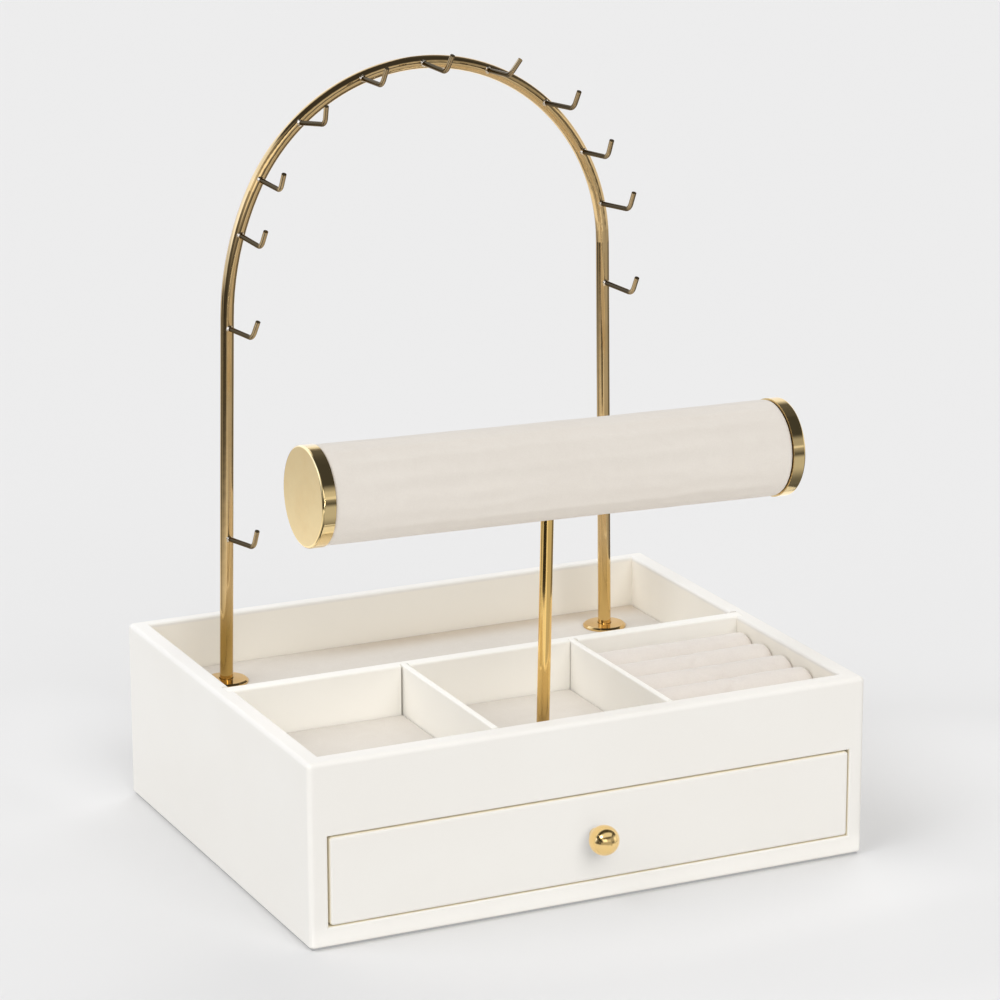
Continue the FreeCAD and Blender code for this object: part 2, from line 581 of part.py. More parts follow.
# ------------------------------------------------------------------ bracelet bar
def leaning(b):
    """Seat a body at the foot of the post, leaning with it."""
    b.Placement = FreeCAD.Placement(V(0, 0, 0), FreeCAD.Rotation(V(0, 1, 0), num("bar_lean")))
    b.setExpression("Placement.Rotation.Angle", D("bar_lean") + " * 1 deg")
    bind(b, "Placement.Base.x", "post_pos")
    bind(b, "Placement.Base.y", "post_depth_pos")
    bind(b, "Placement.Base.z", "tray_top")


b = node(new_body("bar_post"), "bar_post")
drill(b, "post_dia", "0", "0", "0.08", "bar_level-core_dia/2+post_socket-0.3", cut=False, tag="rod")
drill(b, "rod_bore", "0", "0", "-1", "rod_bore_depth", tag="bore")
leaning(b)

b = node(new_body("bar_core"), "bar_core")
CORE0 = "(bar_shift-sleeve_length/2-cap_length+cap_face+0.1)"
CORE1 = "(bar_shift+sleeve_length/2+cap_length-cap_face-0.1)"
drill(b, "core_dia", "0", "bar_level", CORE0, CORE1, axis="x", cut=False, tag="dowel")
drill(b, "post_dia+0.1", "0", "0", "bar_level-core_dia/2-2", "bar_level-core_dia/2+post_socket", tag="socket")
leaning(b)

b = node(new_body("bar_sleeve"), "bar_sleeve")
S0 = "(bar_shift-sleeve_length/2+0.05)"
S1 = "(bar_shift+sleeve_length/2-0.05)"
drill(b, "sleeve_dia", "0", "bar_level", S0, S1, axis="x", cut=False, tag="tube")
doc.recompute()
sx0, sx1 = num(S0), num(S1)
roundoff(b, lambda p: near(p.x, sx0) or near(p.x, sx1), "0.8", "ends")
drill(b, "core_dia+0.04", "0", "bar_level", S0 + "-1", S1 + "+1", axis="x", tag="bore")
drill(b, "post_dia+0.6", "0", "0", "bar_level-sleeve_dia/2-2", "bar_level-core_dia/2+2", tag="post_hole")
leaning(b)

for label, side in (("bar_end_cap_left", -1), ("bar_end_cap_right", 1)):
    b = node(new_body(label), label)
    if side < 0:
        o0, o1 = "bar_shift-sleeve_length/2-cap_length", "bar_shift-sleeve_length/2"
        h0, h1 = "bar_shift-sleeve_length/2-cap_length+cap_face", "bar_shift-sleeve_length/2+1"
        xe = num(o0)
    else:
        o0, o1 = "bar_shift+sleeve_length/2", "bar_shift+sleeve_length/2+cap_length"
        h0, h1 = "bar_shift+sleeve_length/2-1", "bar_shift+sleeve_length/2+cap_length-cap_face"
        xe = num(o1)
    drill(b, "cap_dia", "0", "bar_level", o0, o1, axis="x", cut=False, tag="cup")
    doc.recompute()
    roundoff(b, lambda p: near(p.x, xe), "cap_round", "edge")
    drill(b, "core_dia+0.1", "0", "bar_level", h0, h1, axis="x", tag="bore")
    leaning(b)

# ------------------------------------------------------------------ drawer
b = node(new_body("drawer_front"), "drawer_front")
block(b, DRW0, DRW1, YF, YFI, "opening_low+drawer_gap_low", "opening_high-drawer_gap_high")
dx0, dx1, dz0, dz1 = num(DRW0), num(DRW1), num("opening_low+drawer_gap_low"), num("opening_high-drawer_gap_high")
roundoff(b, lambda p: (near(p.x, dx0) or near(p.x, dx1)) and (near(p.z, dz0) or near(p.z, dz1)), "drawer_round", "corners")
roundoff(b, lambda p: near(p.y, yf), "drawer_round*0.9", "face")
block(b, "-" + DSX + "+drawer_side_thick-drawer_groove", DSX + "-drawer_side_thick+drawer_groove", YFI + "-drawer_groove", YFI + "+1", "drawer_ply_low-0.05", "drawer_ply_low+drawer_ply+0.05", cut=True, tag="groove")
drill(b, "screw_dia+0.6", "0", "knob_level", YF + "-1", YFI + "+1", axis="y", tag="screw_hole")

for label, s in (("drawer_left_side", -1), ("drawer_right_side", 1)):
    b = node(new_body(label), label)
    if s < 0:
        xa, xb = "-" + DSX, "-" + DSX + "+drawer_side_thick"
        ga, gb = "-" + DSX + "+drawer_side_thick-drawer_groove", "-" + DSX + "+drawer_side_thick+1"
    else:
        xa, xb = DSX + "-drawer_side_thick", DSX
        ga, gb = DSX + "-drawer_side_thick-1", DSX + "-drawer_side_thick+drawer_groove"
    block(b, xa, xb, YFI, DYB, DZ0, DZ1)
    za = num(DZ1)
    va, vb = num(xa), num(xb)
    roundoff(b, lambda p: near(p.z, za) and (near(p.x, va) or near(p.x, vb)), "short_round", "top")
    block(b, ga, gb, YFI + "-1", DYB + "+1", "drawer_ply_low-0.05", "drawer_ply_low+drawer_ply+0.05", cut=True, tag="groove")

b = node(new_body("drawer_back"), "drawer_back")
block(b, "-" + DSX + "+drawer_side_thick", DSX + "-drawer_side_thick", DYB + "-drawer_side_thick", DYB, "drawer_ply_low+drawer_ply+0.05", DZ1)
za, va, vb = num(DZ1), num(DYB + "-drawer_side_thick"), num(DYB)
roundoff(b, lambda p: near(p.z, za) and (near(p.y, va) or near(p.y, vb)), "short_round", "top")

b = node(new_body("drawer_bottom"), "drawer_bottom")
block(b, "-" + DSX + "+drawer_side_thick-drawer_groove+0.1", DSX + "-drawer_side_thick+drawer_groove-0.1", YFI + "-drawer_groove+0.1", DYB, "drawer_ply_low", "drawer_ply_low+drawer_ply")

b = node(new_body("drawer_liner"), "drawer_liner")
block(b, "-" + DSX + "+drawer_side_thick+liner_clear", DSX + "-drawer_side_thick-liner_clear", YFI + "+liner_clear", DYB + "-drawer_side_thick-liner_clear", "drawer_ply_low+drawer_ply", "drawer_ply_low+drawer_ply+drawer_liner_thick")

# ball knob, turned about Y
b = node(new_body("drawer_knob"), "drawer_knob")
sk = b.newObject("Sketcher::SketchObject", "knob_outline")
sk.AttachmentSupport = (plane_of(b, "YZ_Plane"), [""])
sk.MapMode = "FlatFace"
kr, ks, kb, kt = num("knob_dia/2"), num("knob_stem_dia/2"), num("knob_base_dia/2"), num("knob_base_thick")
reach = num("knob_reach")
yc = -(reach - kr)                      # ball centre, measured from the drawer face
ymeet = yc + math.sqrt(kr * kr - ks * ks)
pts = [(yc - kr, 0.0), None, (ymeet, ks), (-kt, ks), (-kt, kb), (0.0, kb), (0.0, 0.0)]
sk.addGeometry(Part.ArcOfCircle(Part.Circle(V(yc, 0, 0), V(0, 0, 1), kr), math.atan2(ks, ymeet - yc), math.pi), False)
seq = [(ymeet, ks), (-kt, ks), (-kt, kb), (0.0, kb), (0.0, 0.0), (yc - kr, 0.0)]
for p, q in zip(seq[:-1], seq[1:]):
    sk.addGeometry(Part.LineSegment(V(p[0], p[1], 0), V(q[0], q[1], 0)), False)
sk.addConstraint(Sketcher.Constraint("Coincident", 0, 1, 1, 1))
for g in range(1, 5):
    sk.addConstraint(Sketcher.Constraint("Coincident", g, 2, g + 1, 1))
sk.addConstraint(Sketcher.Constraint("Coincident", 5, 2, 0, 2))
hold(sk, 0, 3, "-(knob_reach-knob_dia/2)", "0")
c = sk.addConstraint(Sketcher.Constraint("Radius", 0, kr))
sk.setExpression("Constraints[%d]" % c, D("knob_dia/2"))
sk.addConstraint(Sketcher.Constraint("Horizontal", 1))
hold(sk, 2, 1, "-knob_base_thick", "knob_stem_dia/2")
hold(sk, 3, 1, "-knob_base_thick", "knob_base_dia/2")
hold(sk, 4, 1, "0", "knob_base_dia/2")
hold(sk, 5, 1, "0", "0")
sk.addConstraint(Sketcher.Constraint("PointOnObject", 0, 2, -1))
rev = b.newObject("PartDesign::Revolution", "knob_turn")
rev.Profile = sk
rev.ReferenceAxis = (sk, ["H_Axis"])
rev.Angle = 360.0
doc.recompute()
drill(b, "screw_dia+0.05", "0", "0", "-(knob_base_thick+6)", "1", axis="y", tag="thread_hole")
bind(b, "Placement.Base.y", YF)
bind(b, "Placement.Base.z", "knob_level")
doc.recompute()

b = node(new_body("knob_screw"), "knob_screw")
drill(b, "screw_dia", "0", "knob_level", YF + "-6", YFI + "+0.5", axis="y", cut=False, tag="shank")
drill(b, "screw_head_dia", "0", "knob_level", YFI + "+0.05", YFI + "+0.05+screw_head_thick", axis="y", cut=False, tag="head")
doc.recompute()
yh = num(YFI + "+0.05+screw_head_thick")
roundoff(b, lambda p: near(p.y, yh), "screw_head_thick*0.45", "dome")

# ------------------------------------------------------------------ export
doc.recompute()
bad = []
for o in doc.Objects:
    st = list(o.State)
    if "Invalid" in st or "Error" in st:
        bad.append("%s %s" % (o.Name, st))
for o in NODES:
    s = o.Shape
    if s.isNull() or not s.isValid() or not s.Solids:
        bad.append("%s bad shape" % o.Label)
if bad:
    raise RuntimeError("; ".join(bad))
os.makedirs("parts", exist_ok=True)
for o in NODES:
    o.Shape.exportStep("parts/%s.step" % o.Label)
    bb = o.Shape.BoundBox
    print("%-26s solids %d  x %.2f..%.2f  y %.2f..%.2f  z %.2f..%.2f  vol %.1f" % (
        o.Label, len(o.Shape.Solids), bb.XMin, bb.XMax, bb.YMin, bb.YMax, bb.ZMin, bb.ZMax, o.Shape.Volume))
print("nodes", len(NODES))
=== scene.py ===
import json
import math

import bmesh
import bpy
import numpy as np
from mathutils import Matrix, Vector, geometry, noise


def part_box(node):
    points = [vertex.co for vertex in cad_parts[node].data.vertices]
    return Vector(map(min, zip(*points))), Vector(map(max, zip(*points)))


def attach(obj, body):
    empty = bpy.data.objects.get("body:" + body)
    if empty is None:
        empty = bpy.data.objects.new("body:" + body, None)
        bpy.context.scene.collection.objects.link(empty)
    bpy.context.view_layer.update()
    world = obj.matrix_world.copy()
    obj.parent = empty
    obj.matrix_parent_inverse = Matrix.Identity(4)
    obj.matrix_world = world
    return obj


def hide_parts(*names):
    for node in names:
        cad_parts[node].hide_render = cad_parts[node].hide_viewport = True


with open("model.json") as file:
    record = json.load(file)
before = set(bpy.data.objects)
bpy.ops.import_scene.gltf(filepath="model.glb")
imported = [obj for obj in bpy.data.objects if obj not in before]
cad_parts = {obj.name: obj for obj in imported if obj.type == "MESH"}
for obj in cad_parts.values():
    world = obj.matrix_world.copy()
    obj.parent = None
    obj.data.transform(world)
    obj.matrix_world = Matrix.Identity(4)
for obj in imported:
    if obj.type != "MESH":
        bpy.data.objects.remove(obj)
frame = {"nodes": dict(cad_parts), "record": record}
NODES = frame["nodes"]
scene = bpy.context.scene
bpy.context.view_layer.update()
MM = 0.001


# ---------------------------------------------------------------- node helpers
class Val:
    """A socket of a node tree that takes part in arithmetic."""

    def __init__(self, tree, socket):
        self.tree, self.s = tree, socket

    def _op(self, op, *others, clamp=False):
        n = self.tree.nodes.new("ShaderNodeMath")
        n.operation, n.use_clamp = op, clamp
        for i, v in enumerate((self, *others)):
            if isinstance(v, Val):
                self.tree.links.new(v.s, n.inputs[i])
            else:
                n.inputs[i].default_value = float(v)
        return Val(self.tree, n.outputs[0])

    def __add__(self, o):
        return self._op("ADD", o)

    __radd__ = __add__

    def __sub__(self, o):
        return self._op("SUBTRACT", o)

    def __rsub__(self, o):
        return self._op("MULTIPLY", -1.0)._op("ADD", o)

    def __mul__(self, o):
        return self._op("MULTIPLY", o)

    __rmul__ = __mul__

    def __truediv__(self, o):
        return self._op("DIVIDE", o)

    def lo(self, o):
        return self._op("MINIMUM", o)

    def hi(self, o):
        return self._op("MAXIMUM", o)

    def pow(self, o):
        return self._op("POWER", o)

    def abs(self):
        return self._op("ABSOLUTE")

    def sin(self):
        return self._op("SINE")

    def step(self, a, b):
        """0 below a, 1 above b, smooth between them."""
        n = self.tree.nodes.new("ShaderNodeMapRange")
        n.interpolation_type = "SMOOTHSTEP"
        self.tree.links.new(self.s, n.inputs[0])
        n.inputs[1].default_value, n.inputs[2].default_value = a, b
        return Val(self.tree, n.outputs[0])

    def bump_at(self, centre, half, soft):
        """1 within half of centre, falling to 0 over soft."""
        return 1.0 - (self - centre).abs().step(half, half + soft)


def coords(tree, kind="Object"):
    n = tree.nodes.new("ShaderNodeTexCoord")
    return n.outputs[kind]


def scaled(tree, vec, scale):
    n = tree.nodes.new("ShaderNodeMapping")
    tree.links.new(vec, n.inputs["Vector"])
    n.inputs["Scale"].default_value = scale
    return n.outputs[0]


def xyz(tree, vec):
    n = tree.nodes.new("ShaderNodeSeparateXYZ")
    tree.links.new(vec, n.inputs[0])
    return [Val(tree, o) for o in n.outputs]


def noise_of(tree, vec, scale, detail=3.0, rough=0.55, distort=0.0):
    n = tree.nodes.new("ShaderNodeTexNoise")
    tree.links.new(vec, n.inputs["Vector"])
    n.inputs["Scale"].default_value = scale
    n.inputs["Detail"].default_value = detail
    n.inputs["Roughness"].default_value = rough
    n.inputs["Distortion"].default_value = distort
    return Val(tree, n.outputs["Fac"])


def voronoi_of(tree, vec, scale, randomness=1.0):
    n = tree.nodes.new("ShaderNodeTexVoronoi")
    tree.links.new(vec, n.inputs["Vector"])
    n.inputs["Scale"].default_value = scale
    n.inputs["Randomness"].default_value = randomness
    return Val(tree, n.outputs["Distance"])


def mix_colour(tree, fac, a, b):
    n = tree.nodes.new("ShaderNodeMix")
    n.data_type = "RGBA"
    for i, v in ((0, fac), (6, a), (7, b)):
        if isinstance(v, Val):
            tree.links.new(v.s, n.inputs[i])
        elif isinstance(v, (tuple, list)):
            n.inputs[i].default_value = (*v[:3], 1.0)
        elif isinstance(v, (int, float)):
            n.inputs[i].default_value = v
        else:
            tree.links.new(v, n.inputs[i])
    return n.outputs[2]


def material(name):
    m = bpy.data.materials.new(name)
    m.use_nodes = True
    t = m.node_tree
    t.nodes.clear()
    out = t.nodes.new("ShaderNodeOutputMaterial")
    b = t.nodes.new("ShaderNodeBsdfPrincipled")
    t.links.new(b.outputs[0], out.inputs[0])
    return m, t, b


def bump(tree, bsdf, height, distance, strength=1.0):
    n = tree.nodes.new("ShaderNodeBump")
    n.inputs["Strength"].default_value = strength
    n.inputs["Distance"].default_value = distance
    tree.links.new(height.s, n.inputs["Height"])
    tree.links.new(n.outputs[0], bsdf.inputs["Normal"])
    return n


# ---------------------------------------------------------------- materials
def paint(name, colour, shade, rough=0.46, peel=0.00004, inner=None):
    """Sprayed satin paint on fibreboard: orange peel, faint clouding, fine specks; inner is a lighter, warmer copy of
    the paint for the faces inside the tray, painted light standing in for the warm light bounced round the tray.
    """
    m, t, b = material(name)
    v = coords(t)
    cloud = noise_of(t, v, 14.0, 3, 0.5)
    fine = noise_of(t, v, 900.0, 2, 0.6)
    peel_n = noise_of(t, v, 260.0, 2, 0.5)
    speck = voronoi_of(t, v, 420.0).step(0.02, 0.09)
    f = cloud.step(0.3, 0.72) * 0.6 + fine * 0.25 + (1.0 - speck) * 0.2
    col = mix_colour(t, f, colour, shade)
    if inner:
        p = xyz(t, v)
        # painted light: faces inside the tray take the lighter, warmer inner copy, standing in for warm bounced light
        inside = (
            (p[0].abs()._op("LESS_THAN", 0.1225))
            * (p[1]._op("LESS_THAN", 0.1072))
            * (p[1]._op("GREATER_THAN", -0.0905))
            * p[2].step(0.0800, 0.0790)
        )
        # painted light: the bottom strip of the front face is painted lighter, standing in for light its shaded foot
        # lacks
        foot = p[2].step(0.013, 0.004) * p[1]._op("LESS_THAN", -0.0975)
        # painted light: the faces of the drawer opening are painted a light warm tone, standing in for light caught in
        # the gap round the drawer
        gap = p[1].step(-0.0977, -0.0971) * p[1]._op("LESS_THAN", -0.0886) * p[2]._op("LESS_THAN", 0.0508) * p[0].abs()._op("LESS_THAN", 0.1238)
        col = mix_colour(t, gap, col, (1.0, 0.93, 0.76))
        col = mix_colour(t, foot, col, mix_colour(t, f, tuple(c * 1.085 for c in colour), tuple(c * 1.085 for c in shade)))
        col = mix_colour(t, inside, col, mix_colour(t, f, inner, tuple(c * 0.975 for c in inner)))
    t.links.new(col, b.inputs["Base Color"])
    t.links.new((rough + (cloud - 0.5) * 0.08 + (fine - 0.5) * 0.06).s, b.inputs["Roughness"])
    b.inputs["Specular IOR Level"].default_value = 0.28
    bump(t, b, peel_n * 0.7 + fine * 0.3, peel)
    return m


def brass(name, rough=0.11, tint=(0.87, 0.655, 0.335), dull=(0.78, 0.56, 0.26), dark_reflection=None, lacquer=0.5):
    """Polished light brass with hair scratches and slight clouding; the optional stretch, given as (axis, from, to,
    colour, colour right of centre), is a darker, browner colour painted on the metal, a painted reflection of the
    darker surroundings it faces there.
    """
    m, t, b = material(name)
    v = coords(t)
    b.inputs["Metallic"].default_value = 1.0
    b.inputs["Coat Weight"].default_value = lacquer
    b.inputs["Coat Roughness"].default_value = 0.04
    b.inputs["Coat IOR"].default_value = 1.45
    cloud = noise_of(t, v, 60.0, 3, 0.6)
    hair = noise_of(t, scaled(t, v, (2600, 2600, 90)), 1.0, 2, 0.6)
    colour = mix_colour(t, cloud.step(0.35, 0.75), tint, dull)
    # painted reflection: a stretch of darker, browner colour standing in for the darker things the metal reflects there
    if dark_reflection:
        axis, start, stop, reflection_colour, other = dark_reflection
        p = xyz(t, v)
        f = (p[axis] + (cloud - 0.5) * 0.004).step(start, stop)
        colour = mix_colour(t, f, mix_colour(t, p[0].step(-0.01, 0.01), reflection_colour, other), colour)
    t.links.new(colour, b.inputs["Base Color"])
    t.links.new((rough + (cloud - 0.5) * 0.06 + (hair - 0.5) * 0.05).s, b.inputs["Roughness"])
    bump(t, b, hair * 0.25 + noise_of(t, v, 180.0, 1, 0.5) * 0.75, 0.000012)
    return m


def cloth(name, colour, shade, pitch, rough=0.9, sheen=0.35, tall=0.00008, nap=1.0, lit_underside=None, painted_felt_shade=None):
    """Short pile: soft mottling, fine grain and a fabric sheen; a lightening factor for the bar turns the tone slowly
    round it to a lighter underside, painted light on the shaded underside; colour factors for the felt paint shade by
    the back wall.
    """
    m, t, b = material(name)
    v = coords(t)
    grain = noise_of(t, v, pitch, 3, 0.7)
    fibre = noise_of(t, scaled(t, v, (pitch * 1.7, pitch * 0.6, pitch * 1.7)), 1.0, 2, 0.6)
    mottle = noise_of(t, v, 150.0, 3, 0.6, 0.4)
    brush = noise_of(t, scaled(t, v, (22, 60, 60)), 1.0, 2, 0.5)
    f = (grain - 0.5) * 0.9 + (fibre - 0.5) * 0.5 + (mottle - 0.5) * 0.7 * nap + (brush - 0.5) * 0.6 * nap + 0.45
    col = mix_colour(t, f.hi(0.0).lo(1.0), colour, shade)
    # painted light: the lower half of the bar is painted lighter, standing in for light its shaded underside lacks
    if lit_underside:
        p = xyz(t, v)
        down = (p[2] + p[0] * 0.02094 - 0.1782).step(0.021, -0.021)
        col = mix_colour(t, down, col, mix_colour(t, f.hi(0.0).lo(1.0), tuple(c * lit_underside for c in colour), tuple(c * lit_underside for c in shade)))
    # painted light and shade on the rear felt: towards the left it is darker at the front and lighter at the back, the
    # rear felt is a little darker overall, and the strip by the back wall is painted darker and warmer, painted shade
    # where the wall shades it
    if painted_felt_shade:
        p = xyz(t, v)
        left = p[0].step(0.02, -0.06) * p[2]._op("GREATER_THAN", 0.05)
        tone = left * (p[1].step(0.010, 0.095) * 0.115 - 0.06) + 1.0 - p[1]._op("GREATER_THAN", 0.009) * p[2]._op("GREATER_THAN", 0.05) * 0.022
        sc = t.nodes.new("ShaderNodeVectorMath")
        sc.operation = "SCALE"
        t.links.new(col, sc.inputs[0])
        t.links.new(tone.s, sc.inputs["Scale"])
        col = sc.outputs[0]
        along = p[1].step(0.086, 0.105) * p[0].step(-0.085, 0.005) * p[2]._op("GREATER_THAN", 0.05)
        col = mix_colour(t, along, col, mix_colour(t, f.hi(0.0).lo(1.0), tuple(c * k for c, k in zip(colour, painted_felt_shade)), tuple(c * k for c, k in zip(shade, painted_felt_shade))))
    t.links.new(col, b.inputs["Base Color"])
    b.inputs["Roughness"].default_value = rough
    b.inputs["Specular IOR Level"].default_value = 0.2
    b.inputs["Sheen Weight"].default_value = sheen
    b.inputs["Sheen Roughness"].default_value = 0.45
    bump(t, b, grain * 0.55 + fibre * 0.3 + mottle * 0.35, tall)
    return m


def wood(name, colour, shade):
    m, t, b = material(name)
    v = coords(t)
    rings = noise_of(t, scaled(t, v, (12, 220, 220)), 1.0, 4, 0.6, 0.8)
    pores = noise_of(t, scaled(t, v, (120, 2400, 2400)), 1.0, 2, 0.6)
    f = rings.step(0.3, 0.75) * 0.8 + pores * 0.2
    t.links.new(mix_colour(t, f, colour, shade), b.inputs["Base Color"])
    t.links.new((0.6 + (pores - 0.5) * 0.2).s, b.inputs["Roughness"])
    bump(t, b, pores, 0.00005)
    return m


def plain(name, colour, shade, rough, metallic=0.0, scale=300.0, tall=0.00003):
    m, t, b = material(name)
    v = coords(t)
    n = noise_of(t, v, scale, 3, 0.6)
    t.links.new(mix_colour(t, n, colour, shade), b.inputs["Base Color"])
    b.inputs["Metallic"].default_value = metallic
    t.links.new((rough + (n - 0.5) * 0.1).s, b.inputs["Roughness"])
    bump(t, b, n, tall)
    return m


M = {
    # inner: the lighter, warmer copy inside the tray is painted light for the warm light bounced round it
    "painted_wood": paint("painted_wood", (0.868, 0.846, 0.800), (0.846, 0.817, 0.766), inner=(0.926, 0.887, 0.805)),
    # the dividers take a lighter copy of the case paint: painted light for the brighter light they catch
    "divider_paint_lit": paint("divider_paint_lit", (0.93, 0.908, 0.852), (0.912, 0.885, 0.825)),
    "drawer_wood": paint("drawer_wood", (0.83, 0.80, 0.74), (0.79, 0.75, 0.68), 0.6),
    # the felt's colour factors paint shade on the strip by the back wall, and painted light and shade across the left
    "lining_felt": cloth("lining_felt", (0.752, 0.710, 0.652), (0.676, 0.629, 0.566), 1500.0, 0.95, 0.2, 0.00006, painted_felt_shade=(0.82, 0.75, 0.66)),
    "card": plain("card", (0.62, 0.54, 0.43), (0.5, 0.43, 0.34), 0.85),
    "roll_velvet": cloth("roll_velvet", (0.769, 0.718, 0.664), (0.692, 0.637, 0.582), 1300.0, 0.9, 0.4, 0.00008),
    # the velvet's lower half is painted lighter: painted light on the bar's shaded underside
    "velvet": cloth("velvet", (0.682, 0.637, 0.578), (0.630, 0.581, 0.522), 1300.0, 0.92, 0.3, 0.00007, lit_underside=1.29),
    # the darker stretches on the low arch legs, the low post and the hook arms are painted reflections of darker
    # surroundings
    "brass": brass("brass", 0.075, (0.74, 0.52, 0.25), (0.68, 0.47, 0.21), (2, 0.078, 0.104, (0.50, 0.315, 0.085), (0.72, 0.475, 0.165)), 0.35),
    "brass_flange": brass("brass_flange", 0.08, (0.82, 0.56, 0.235), (0.77, 0.51, 0.20), None, 0.2),
    # brass_post is a lighter copy of the brass: painted light for the bright cushion and walls the post reflects
    "brass_post": brass("brass_post", 0.09, (1.0, 0.67, 0.24), (0.98, 0.64, 0.215), (2, 0.066, 0.090, (0.60, 0.40, 0.15), (0.60, 0.40, 0.15)), 0.0),
    "brass_knob": brass("brass_knob", 0.15, (1.0, 0.73, 0.33), (0.98, 0.685, 0.28), None, 0.2),
    "brass_solder": brass("brass_solder", 0.20, (0.86, 0.74, 0.57), (0.72, 0.58, 0.40), None, 0.0),
    "brass_cap": brass("brass_cap", 0.07, (0.955, 0.735, 0.365), (0.93, 0.69, 0.325), None, 0.25),
    "brass_wire": brass("brass_wire", 0.07, (0.53, 0.405, 0.235), (0.46, 0.335, 0.185), (1, 0.0572, 0.0532, (0.072, 0.055, 0.034), (0.072, 0.055, 0.034)), 0.0),
    "dowel_wood": wood("dowel_wood", (0.70, 0.52, 0.33), (0.55, 0.38, 0.22)),
    "screw_steel": plain("screw_steel", (0.62, 0.62, 0.62), (0.5, 0.5, 0.5), 0.3, 1.0),
    "pad_rubber": plain("pad_rubber", (0.55, 0.54, 0.52), (0.46, 0.45, 0.43), 0.8),
}

M["brass_wire"].node_tree.nodes["Principled BSDF"].inputs["Specular Tint"].default_value = (0.66, 0.60, 0.52, 1.0)

SLOT_OF = {s["node"]: s["material_slot"] for s in frame["record"]["subparts"]}
for n, o in NODES.items():
    o.data.materials.clear()
    own = SLOT_OF[n]
    for start, other in (("bar_end_cap", "brass_cap"), ("arch_flange", "brass_flange"), ("post_flange", "brass_flange"), ("hook_", "brass_wire"), ("drawer_knob", "brass_knob"), ("bar_post", "brass_post"), ("long_div", "divider_paint_lit"), ("short_div", "divider_paint_lit")):
        if n.startswith(start):
            own = other
    o.data.materials.append(M[own])


# ---------------------------------------------------------------- mesh helpers
def make(name, verts, faces, slot_name, body, smooth=True):
    me = bpy.data.meshes.new(name)
    me.from_pydata([tuple(v) for v in verts], [], faces)
    me.validate()
    o = bpy.data.objects.new(name, me)
    scene.collection.objects.link(o)
    if smooth:
        me.polygons.foreach_set("use_smooth", [True] * len(me.polygons))
    me.materials.append(M[slot_name])
    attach(o, body)
    return o


# ---------------------------------------------------------------- soft goods
def inflate(verts, faces, big, pinned, pressure, cap, shrink=0.0, frames=20):
    """Cloth simulation of a closed skin blown up a little; big scales it up for the solver. Returns the moved points."""
    me = bpy.data.meshes.new("blown")
    me.from_pydata([tuple(Vector(v) * big) for v in verts], [], faces)
    o = bpy.data.objects.new("blown", me)
    scene.collection.objects.link(o)
    g = o.vertex_groups.new(name="hold")
    g.add([int(i) for i in pinned], 1.0, "REPLACE")
    m = o.modifiers.new("cloth", "CLOTH")
    st = m.settings
    st.quality = 6
    st.mass = 0.3
    st.tension_stiffness = st.compression_stiffness = 15.0
    st.bending_stiffness = 0.6
    st.use_pressure = True
    st.uniform_pressure_force = pressure
    st.shrink_min = shrink
    st.effector_weights.gravity = 0.0
    st.vertex_group_mass = "hold"
    m.collision_settings.use_collision = False
    m.point_cache.frame_start, m.point_cache.frame_end = 1, frames
    for f in range(1, frames + 1):
        scene.frame_set(f)
    dg = bpy.context.evaluated_depsgraph_get()
    done = o.evaluated_get(dg)
    out = np.array([v.co for v in done.data.vertices], float) / big
    scene.frame_set(1)
    bpy.data.objects.remove(o)
    bpy.data.meshes.remove(me)
    was = np.array(verts, float)
    step = out - was
    far = np.linalg.norm(step, axis=1)
    share = np.minimum(1.0, cap / np.maximum(far, 1e-12))
    return was + step * share[:, None]


def smoothstep(a, b, x):
    t = np.clip((np.asarray(x, float) - a) / (b - a), 0, 1)
    return t * t * (3 - 2 * t)


def wobble(points, scale, seed):
    """Smooth noise from -1 to 1 at each point, always the same."""
    return np.array([noise.noise(Vector((p[0] * scale + seed * 7.3, p[1] * scale - seed * 3.1, p[2] * scale + seed))) for p in points])


def tube_faces(nu, nv):
    """Quads of nu rings of nv points, closed round, with fans at both ends left to the caller."""
    f = []
    for i in range(nu - 1):
        for j in range(nv):
            k = (j + 1) % nv
            f.append((i * nv + j, i * nv + k, (i + 1) * nv + k, (i + 1) * nv + j))
    return f


def subdivided(o, levels=1):
    m = o.modifiers.new("smooth", "SUBSURF")
    m.levels = m.render_levels = levels
    return o


# ring rolls: velvet over foam, side by side, each pinched against its neighbours
ROLL_LO = np.array(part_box("ring_roll_1")[0])
ROLL_HI = np.array(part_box("ring_roll_1")[1])
roll_x0, roll_x1 = ROLL_LO[0] - 0.0001, ROLL_HI[0] + 0.0001
pitch_y = ROLL_HI[1] - ROLL_LO[1] + 0.00025
BASE_Z, CREST_Z = ROLL_LO[2], 0.0768


def roll_section(nv, half, z0, z1):
    """Closed outline of a roll's cross-section: flat under, near half-round above."""
    r = half
    pts = []
    spring = z1 - r * 0.98
    n_arc = int(nv * 0.56)
    n_side = int(nv * 0.12)
    n_base = nv - n_arc - 2 * n_side
    for i in range(n_arc):
        a = math.pi * (i + 0.5) / n_arc
        pts.append((r * math.cos(a), spring + (z1 - spring) * math.sin(a) ** 0.92))
    for i in range(n_side):
        t = (i + 0.5) / n_side
        pts.append((-r + 0.0006 * t * t, spring + (z0 - spring) * t))
    for i in range(n_base):
        t = (i + 0.5) / n_base
        pts.append((-r + 0.0006 + (2 * r - 0.0012) * t, z0))
    for i in range(n_side):
        t = 1 - (i + 0.5) / n_side
        pts.append((r - 0.0006 * t * t, spring + (z0 - spring) * t))
    return pts


